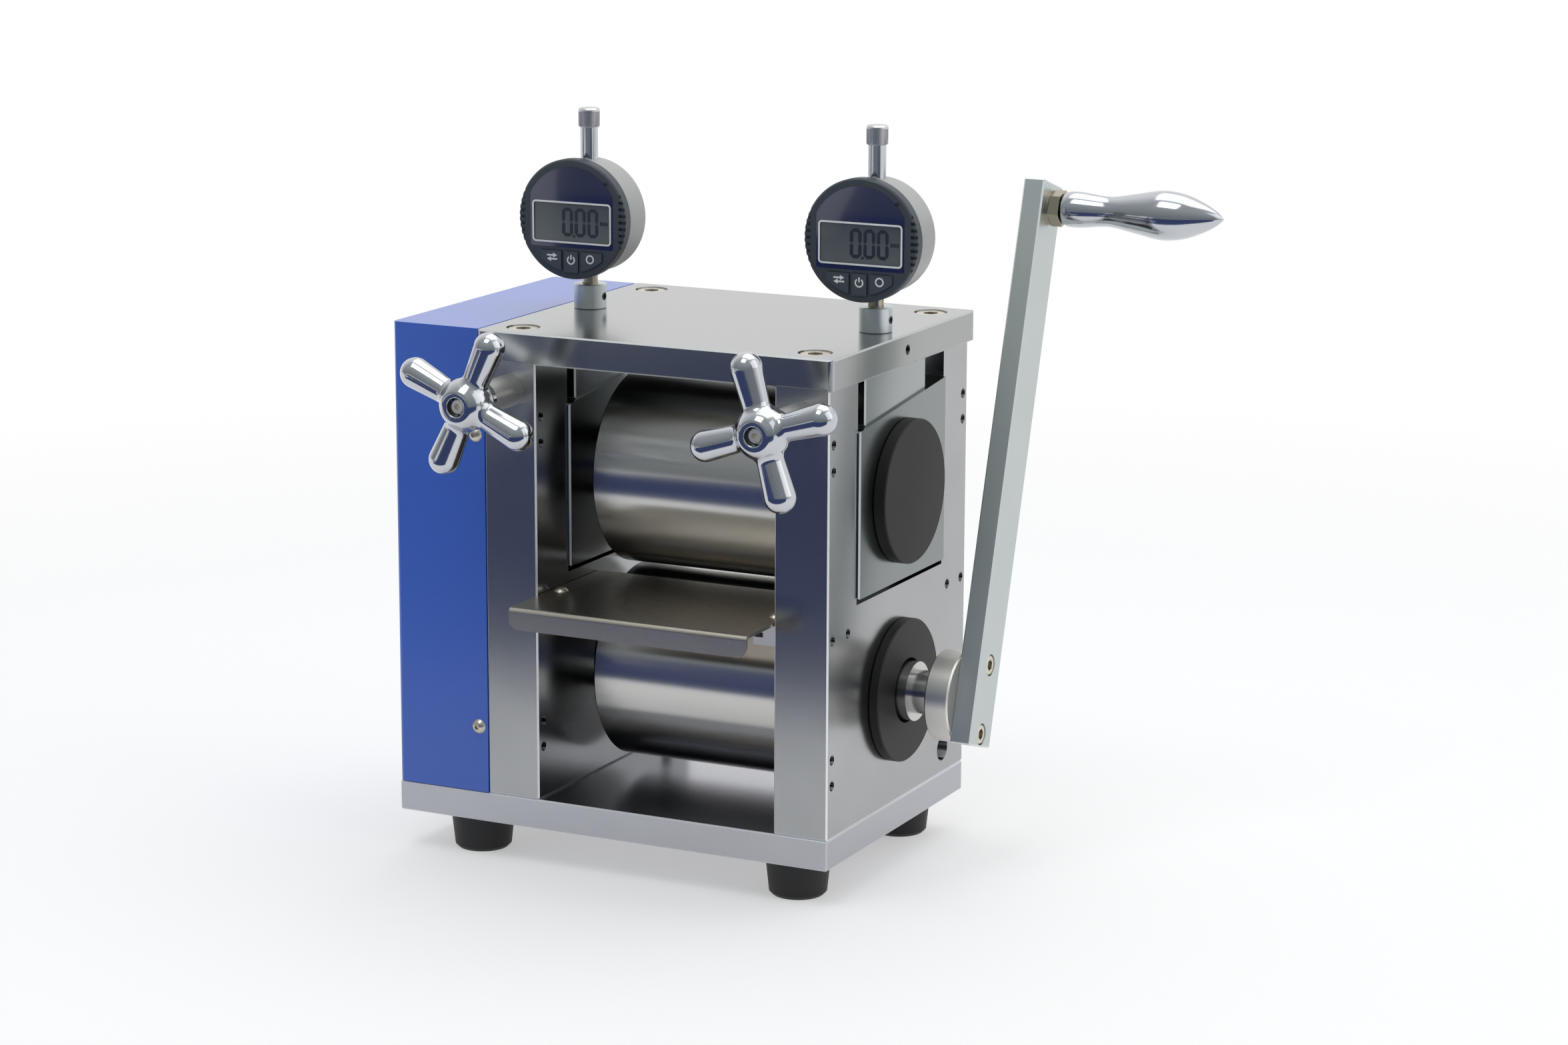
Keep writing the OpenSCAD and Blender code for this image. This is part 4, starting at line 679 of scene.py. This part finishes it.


# Brushed nickel scatters the light, and the head is painted far paler than nickel, as painted light that
# keeps it bright in its shaded sink
pale_painted_nickel = lined_metal("brushed_nickel_socket_screw_painted_pale", "#f3efe5", 0.45, 0.2, "x")
KNOB_SCREW_R, KNOB_SCREW_H, KNOB_SCREW_EDGE, KNOB_SCREW_STEPS = 3.5, 4.0, 0.4, 48
KNOB_KEY_HALF, KNOB_KEY_DEEP = 1.5, 2.2
for word, turn_deg in KNOB_TURN_DEG.items():
    low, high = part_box("knob_" + word)
    middle = (low + high) / 2
    centre = Vector((middle.x, low.y + FLAT_AT * MM, middle.z))
    spin = Matrix.Rotation(math.radians(turn_deg), 3, "Z")
    turn = Matrix.Rotation(math.radians(90), 3, "X") @ spin
    cast, normals = knob_mesh("knob_" + word, centre, turn)
    knob = piece("cast_knob_" + word, cast, chrome, word + "_screw", NEVER_SHARP_DEG)
    knob.data.normals_split_custom_set_from_vertices(normals.tolist())
    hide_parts("knob_" + word)
    seat = FLAT_AT - SINK_DEEP
    top = seat + KNOB_SCREW_H
    screw_outline = [
        (0, seat), (KNOB_SCREW_R, seat), (KNOB_SCREW_R, top - KNOB_SCREW_EDGE),
        (KNOB_SCREW_R - KNOB_SCREW_EDGE, top), (KNOB_KEY_HALF, top, "hex"),
        (KNOB_KEY_HALF, top - KNOB_KEY_DEEP, "hex"), (0, top - KNOB_KEY_DEEP),
    ]
    piece("knob_screw_" + word, turned(screw_outline, centre, (0, -1, 0), KNOB_SCREW_STEPS),
          pale_painted_nickel, word + "_screw")


# Indicator collars. Turned steel rings whose spigots stand in the top plate, with the
# indicator stems in their bores. Bright zinc plate makes them pale, with a satin sheen.

collar_metal = lined_metal("bright_zinc_collar", "#cdd3d4", 0.38, 0.25, "x", cloud=0.03, bump=0.005)
dress(collar_metal, "indicator_collars")


# Indicator cases. Die-cast shells, held in the collars by a nickel plated stem, with a
# chromed tube and a knurled dust cap on top and a stainless spindle inside. The enamel is
# an even light grey with a soft sheen, and the caps' satin chrome has no clear mirror.

case_enamel = speckled("light_grey_enamel", "#9b9d9b", "#a4a6a4", 0.38, 1.2)
satin_chrome = lined_metal("satin_chrome_plate", "#d0d1d2", 0.36, 0.3, "x", cloud=0.03)
dress(turned_steel, "indicator_spindles")
CASE_R, CASE_WALL, CASE_STEPS = 29.0, 2.2, 144
FRONT_GAP, FRONT_BEVEL = 0.2, 0.7
BACK_ROUND, BACK_ROUND_STEP_DEG = 1.6, 15
BACK_GROOVE_R, GROOVE_W, GROOVE_DEEP = 25.0, 0.5, 0.4
TUBE_R, STEM_R, BORE_R, TUBE_STEPS = 4.5, 4.0, 2.5, 64
CAP_R, CAP_H, CAP_BEVEL, CAP_FOOT_BEVEL = 5.4, 9.6, 0.8, 0.5
CAP_BAND, CAP_DISH_DEEP, CAP_DISH_IN = 1.7, 0.3, 1.6
RIDGE_DEEP, RIDGE_RUN_OUT, RIDGE_FOOT = 0.45, 0.2, 0.6
face_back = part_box("indicator_face_left")[1].y
dust_low, dust_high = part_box("dust_caps")
for word in ("left", "right"):
    low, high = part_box("indicator_face_" + word)
    middle = (low + high) / 2
    case_low, case_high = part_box("indicator_case_" + word)
    hub = Vector((middle.x, face_back, middle.z))
    deep = (case_high.y - face_back) / MM
    round_steps = [math.radians(a) for a in range(0, 91, BACK_ROUND_STEP_DEG)]
    rear = [(CASE_R - BACK_ROUND * (1 - math.cos(a)), deep - BACK_ROUND * (1 - math.sin(a)))
            for a in round_steps]
    shell_outline = [
        (CASE_R - CASE_WALL, FRONT_GAP), (CASE_R - FRONT_BEVEL, FRONT_GAP),
        (CASE_R, FRONT_GAP + FRONT_BEVEL), *rear,
        (BACK_GROOVE_R + GROOVE_W, deep), (BACK_GROOVE_R + GROOVE_W / 2, deep - GROOVE_DEEP),
        (BACK_GROOVE_R - GROOVE_W / 2, deep - GROOVE_DEEP), (BACK_GROOVE_R - GROOVE_W, deep),
        (0, deep), (0, deep - CASE_WALL), (CASE_R - CASE_WALL, deep - CASE_WALL),
    ]
    shell = piece("case_shell_" + word, turned(shell_outline, hub, (0, 1, 0), CASE_STEPS, closed=True),
                  case_enamel, "frame")
    stem_axis = Vector((middle.x, (dust_low.y + dust_high.y) / 2, middle.z))
    tube_top = (case_high.z - middle.z) / MM
    stem_end = (case_low.z - middle.z) / MM
    tube_start = CASE_R - CASE_WALL
    piece("case_tube_" + word, turned([
        (BORE_R, tube_start), (TUBE_R, tube_start), (TUBE_R, tube_top), (BORE_R, tube_top),
    ], stem_axis, (0, 0, 1), TUBE_STEPS, closed=True), chrome, "frame")
    piece("case_stem_" + word, turned([
        (BORE_R, -tube_start), (BORE_R, stem_end), (STEM_R, stem_end), (STEM_R, -tube_start),
    ], stem_axis, (0, 0, 1), TUBE_STEPS, closed=True), nickel, "frame")
    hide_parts("indicator_case_" + word)
    cap_top = tube_top + CAP_H
    cap = piece("knurled_cap_" + word, turned([
        (0, cap_top - CAP_DISH_DEEP), (CAP_R - CAP_DISH_IN, cap_top),
        (CAP_R - CAP_BEVEL, cap_top), (CAP_R, cap_top - CAP_BEVEL), (CAP_R, cap_top - CAP_BAND),
        (CAP_R, cap_top - CAP_BAND - RIDGE_RUN_OUT, "knurl"), (CAP_R, tube_top + RIDGE_FOOT, "knurl"),
        (CAP_R - CAP_FOOT_BEVEL, tube_top), (0, tube_top),
    ], stem_axis, (0, 0, 1), CASE_STEPS, RIDGE_DEEP), satin_chrome, "frame")
    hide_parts("dust_caps")


# Indicator faces. Dark blue-grey ABS mouldings that turn on the cases: a matte rim with
# grip slots, a gloss-printed panel with a white frame round the display, three buttons.

# Moulded ABS is matte from the grain of its mould, the buttons a shade paler. The prints
# on it are opaque and a little uneven: white on frame and buttons, dark for the index mark
face_abs = speckled("moulded_dark_abs", "#333b43", "#3a434c", 0.45, 1.2)
button_abs = speckled("moulded_button_abs", "#3a434c", "#414a54", 0.42, 1.2)
white_print = speckled("white_print", "#d3d6d6", "#dee0e0", 0.4, 1.5)
index_print = speckled("dark_index_print", "#121519", "#181b20", 0.5, 1.5)

# The panel is ink behind a clear gloss sheet: an uneven deep blue with a sharp mirror over it
gloss_panel, tree, output = new_material("gloss_printed_panel")
place = add(tree, "ShaderNodeTexCoord")
haze_mm = 9
haze = add(tree, "ShaderNodeTexNoise", {"Scale": 1 / (haze_mm * MM), "Detail": 2.0},
           {"Vector": place.outputs["Object"]})
tint = add(tree, "ShaderNodeValToRGB", links={"Fac": haze.outputs["Fac"]})
tint.color_ramp.elements[0].color = linear("#141c3e")
tint.color_ramp.elements[1].color = linear("#1a244c")
panel = add(tree, "ShaderNodeBsdfPrincipled",
            {"Roughness": 0.08, "Coat Weight": 1.0, "Coat Roughness": 0.03},
            {"Base Color": tint.outputs["Color"]})
tree.links.new(panel.outputs["BSDF"], output.inputs["Surface"])

# A reflective liquid crystal display under a clear window: grey-green, with painted shade that makes it
# darker towards the top and paler at its foot
crystal, tree, output = new_material("liquid_crystal_display")
low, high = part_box("display_left")
place = add(tree, "ShaderNodeTexCoord")
axes = add(tree, "ShaderNodeSeparateXYZ", links={"Vector": place.outputs["Object"]})
up = add(tree, "ShaderNodeMapRange", {"From Min": low.z, "From Max": high.z},
         {"Value": axes.outputs["Z"]})
crystal_painted_shade = add(tree, "ShaderNodeValToRGB", links={"Fac": up.outputs[0]})
crystal_painted_shade.color_ramp.elements[0].color = linear("#5c6264")
crystal_painted_shade.color_ramp.elements[1].color = linear("#3e464d")
pane = add(tree, "ShaderNodeBsdfPrincipled",
           {"Roughness": 0.25, "Coat Weight": 0.6, "Coat Roughness": 0.06},
           {"Base Color": crystal_painted_shade.outputs["Color"]})
tree.links.new(pane.outputs["BSDF"], output.inputs["Surface"])

# A stroke that is on looks like dark ink under the window
segment_ink = speckled("display_segments", "#1d2532", "#212a38", 0.3, 1.5)


def flat_piece(loops, lift, thick, centre):
    """A thin plate in the face's plane. Loops are (across, up) points in mm, the first one outside."""
    made = bmesh.new()
    for loop in loops:
        ring = [made.verts.new(centre + Vector((across, -lift, up)) * MM) for across, up in loop]
        for a, b in zip(ring, ring[1:] + ring[:1]):
            made.edges.new((a, b))
    bmesh.ops.triangle_fill(made, use_beauty=True, edges=made.edges[:])
    front = made.faces[:]
    grown = bmesh.ops.extrude_face_region(made, geom=front)
    moved = [v for v in grown["geom"] if isinstance(v, bmesh.types.BMVert)]
    bmesh.ops.translate(made, verts=moved, vec=Vector((0, thick * MM, 0)))
    return made


def round_box(w, h, r, across=0.0, up=0.0, steps=6):
    """A rectangle with round corners, as one loop of points."""
    loop = []
    for quarter, (sx, sy) in enumerate(((1, 1), (-1, 1), (-1, -1), (1, -1))):
        for k in range(steps + 1):
            angle = math.radians(90 * (quarter + k / steps))
            loop.append((across + sx * (w / 2 - r) + r * math.cos(angle),
                         up + sy * (h / 2 - r) + r * math.sin(angle)))
    return loop


def arc(radius, start_deg, end_deg, across=0.0, up=0.0, steps=24):
    """Points on an arc, from one angle to the other."""
    angles = [math.radians(start_deg + (end_deg - start_deg) * k / steps) for k in range(steps + 1)]
    return [(across + radius * math.cos(a), up + radius * math.sin(a)) for a in angles]


PANEL_R, PANEL_HALF, PANEL_FOOT, PANEL_STEPS = 26.6, 23.6, -14.4, 48
PANEL_CORNER, PANEL_CORNER_STEPS = 1.0, 5
WINDOW_W, WINDOW_H, WINDOW_UP, WINDOW_CORNER, WINDOW_SUNK = 43.4, 19.4, -1.7, 1.2, 0.5
FRAME_W, FRAME_CORNER = 0.9, 2.0
PRINT_T, FRAME_T = 0.12, 0.18
DIGIT_W, DIGIT_H, DIGIT_UP, STROKE, DIGIT_GAP = 6.2, 14.6, -1.5, 1.7, 0.12
DIGIT_PLACES = [-2.6, 4.7, 11.9]
POINT_W, POINT_ACROSS, POINT_UP = 1.3, 1.05, -8.5
UNIT_W, UNIT_H, UNIT_ACROSS, UNIT_PITCH, UNIT_UP = 1.1, 1.9, 16.6, 1.6, -1.3
DISPLAY_MARK_CORNER = 0.3
BUTTON_OUT, BUTTON_MIDDLE, SIDE_BUTTON = 0.9, -20.6, 10.9
SIDE_MARK_UP = BUTTON_MIDDLE + 1.0
RING_OUT, RING_IN, RING_STEPS, RING_TO_DEG = 2.3, 1.6, 40, 352
POWER_FROM_DEG, POWER_TO_DEG = 125, 415
BAR_W, BAR_H, BAR_CORNER, BAR_UP = 0.7, 2.5, 0.1, BUTTON_MIDDLE + 1.5
INDEX_AT_DEG, INDEX_R, INDEX_SCALE = 44, 27.2, 0.6


def zero_digit(across, up):
    """The six strokes of a seven-segment 0, each with pointed ends."""
    half_w, half_h, s, g = (DIGIT_W - STROKE) / 2, (DIGIT_H - STROKE) / 2, STROKE / 2, DIGIT_GAP
    strokes = []
    for level in (half_h, -half_h):
        strokes.append([(-half_w + g, level), (-half_w + s + g, level + s), (half_w - s - g, level + s),
                        (half_w - g, level), (half_w - s - g, level - s), (-half_w + s + g, level - s)])
    for side_at in (-half_w, half_w):
        for foot in (0, -half_h):
            a, b = foot + g, foot + half_h - g
            strokes.append([(side_at, a), (side_at + s, a + s), (side_at + s, b - s),
                            (side_at, b), (side_at - s, b - s), (side_at - s, a + s)])
    return [[(across + x, up + y) for x, y in stroke] for stroke in strokes]


panel_rise = math.degrees(math.acos(PANEL_HALF / PANEL_R))
panel_loop = [
    *arc(PANEL_CORNER, 180, 270, -PANEL_HALF + PANEL_CORNER, PANEL_FOOT + PANEL_CORNER,
         PANEL_CORNER_STEPS),
    *arc(PANEL_CORNER, 270, 360, PANEL_HALF - PANEL_CORNER, PANEL_FOOT + PANEL_CORNER,
         PANEL_CORNER_STEPS),
    *arc(PANEL_R, panel_rise, 180 - panel_rise, steps=PANEL_STEPS),
]
window_loop = round_box(WINDOW_W, WINDOW_H, WINDOW_CORNER, up=WINDOW_UP)
frame_loop = round_box(WINDOW_W + 2 * FRAME_W, WINDOW_H + 2 * FRAME_W, FRAME_CORNER, up=WINDOW_UP)

# The decimal point and, for the unit, three small plain blocks
decimal_point = [round_box(POINT_W, POINT_W, DISPLAY_MARK_CORNER, POINT_ACROSS, POINT_UP)]
unit_mark = [round_box(UNIT_W, UNIT_H, DISPLAY_MARK_CORNER, UNIT_ACROSS + k * UNIT_PITCH, UNIT_UP)
             for k in range(3)]

# Button marks: a ring for zero, whose last side closes it, a broken ring with a bar for
# power, and two arrows for the unit
zero_mark = [arc(radius, 0, RING_TO_DEG, SIDE_BUTTON, SIDE_MARK_UP, RING_STEPS)
             for radius in (RING_OUT, RING_IN)]
power_ring = [*arc(RING_OUT, POWER_FROM_DEG, POWER_TO_DEG, 0, BUTTON_MIDDLE),
              *arc(RING_IN, POWER_TO_DEG, POWER_FROM_DEG, 0, BUTTON_MIDDLE)]
power_bar = round_box(BAR_W, BAR_H, BAR_CORNER, 0, BAR_UP, 1)
arrow = [(-2.9, 0.55), (0.6, 0.55), (0.6, -0.3), (2.9, 0.95), (0.6, 2.2), (0.6, 1.35), (-2.9, 1.35)]
swap_arrows = [
    [(x - SIDE_BUTTON, y + SIDE_MARK_UP) for x, y in arrow],
    [(-x - SIDE_BUTTON, -y + SIDE_MARK_UP) for x, y in arrow],
]

# The index mark is a small arrow near the rim that points across the face
index_arrow = [(-1.6, 0.9), (0.2, 0.9), (0.2, 2.0), (2.2, 0), (0.2, -2.0), (0.2, -0.9), (-1.6, -0.9)]
index_across = INDEX_R * math.cos(math.radians(INDEX_AT_DEG))
index_up = INDEX_R * math.sin(math.radians(INDEX_AT_DEG))
index_loop = [(index_across + INDEX_SCALE * x, index_up + INDEX_SCALE * y) for x, y in index_arrow]

for word in ("left", "right"):
    low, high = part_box("indicator_face_" + word)
    centre = Vector(((low.x + high.x) / 2, low.y, (low.z + high.z) / 2))
    body = word + "_face"
    dress(face_abs, "indicator_face_" + word)
    dress(crystal, "display_" + word)
    piece("gloss_panel_" + word, flat_piece([panel_loop, frame_loop], PRINT_T, PRINT_T, centre),
          gloss_panel, body)
    piece("window_frame_" + word, flat_piece([frame_loop, window_loop], FRAME_T, FRAME_T, centre),
          white_print, body)
    for number, across in enumerate(DIGIT_PLACES):
        for stroke, loop in enumerate(zero_digit(across, DIGIT_UP)):
            piece(f"digit_{word}_{number}_{stroke}",
                  flat_piece([loop], PRINT_T - WINDOW_SUNK, PRINT_T, centre),
                  segment_ink, body)
    for number, loop in enumerate([*decimal_point, *unit_mark]):
        piece(f"display_mark_{word}_{number}", flat_piece([loop], PRINT_T - WINDOW_SUNK, PRINT_T, centre),
              segment_ink, body)
    piece("index_mark_" + word, flat_piece([index_loop], PRINT_T, PRINT_T, centre), index_print, body)
    lift = BUTTON_OUT + PRINT_T
    marks = {
        "zero": [zero_mark],
        "power": [[power_ring], [power_bar]],
        "unit": [[loop] for loop in swap_arrows],
    }
    for button, shapes in marks.items():
        dress(button_abs, f"{button}_button_{word}")
        for number, loops in enumerate(shapes):
            piece(f"{button}_mark_{word}_{number}", flat_piece(loops, lift, PRINT_T, centre), white_print,
                  f"{word}_{button}_button")
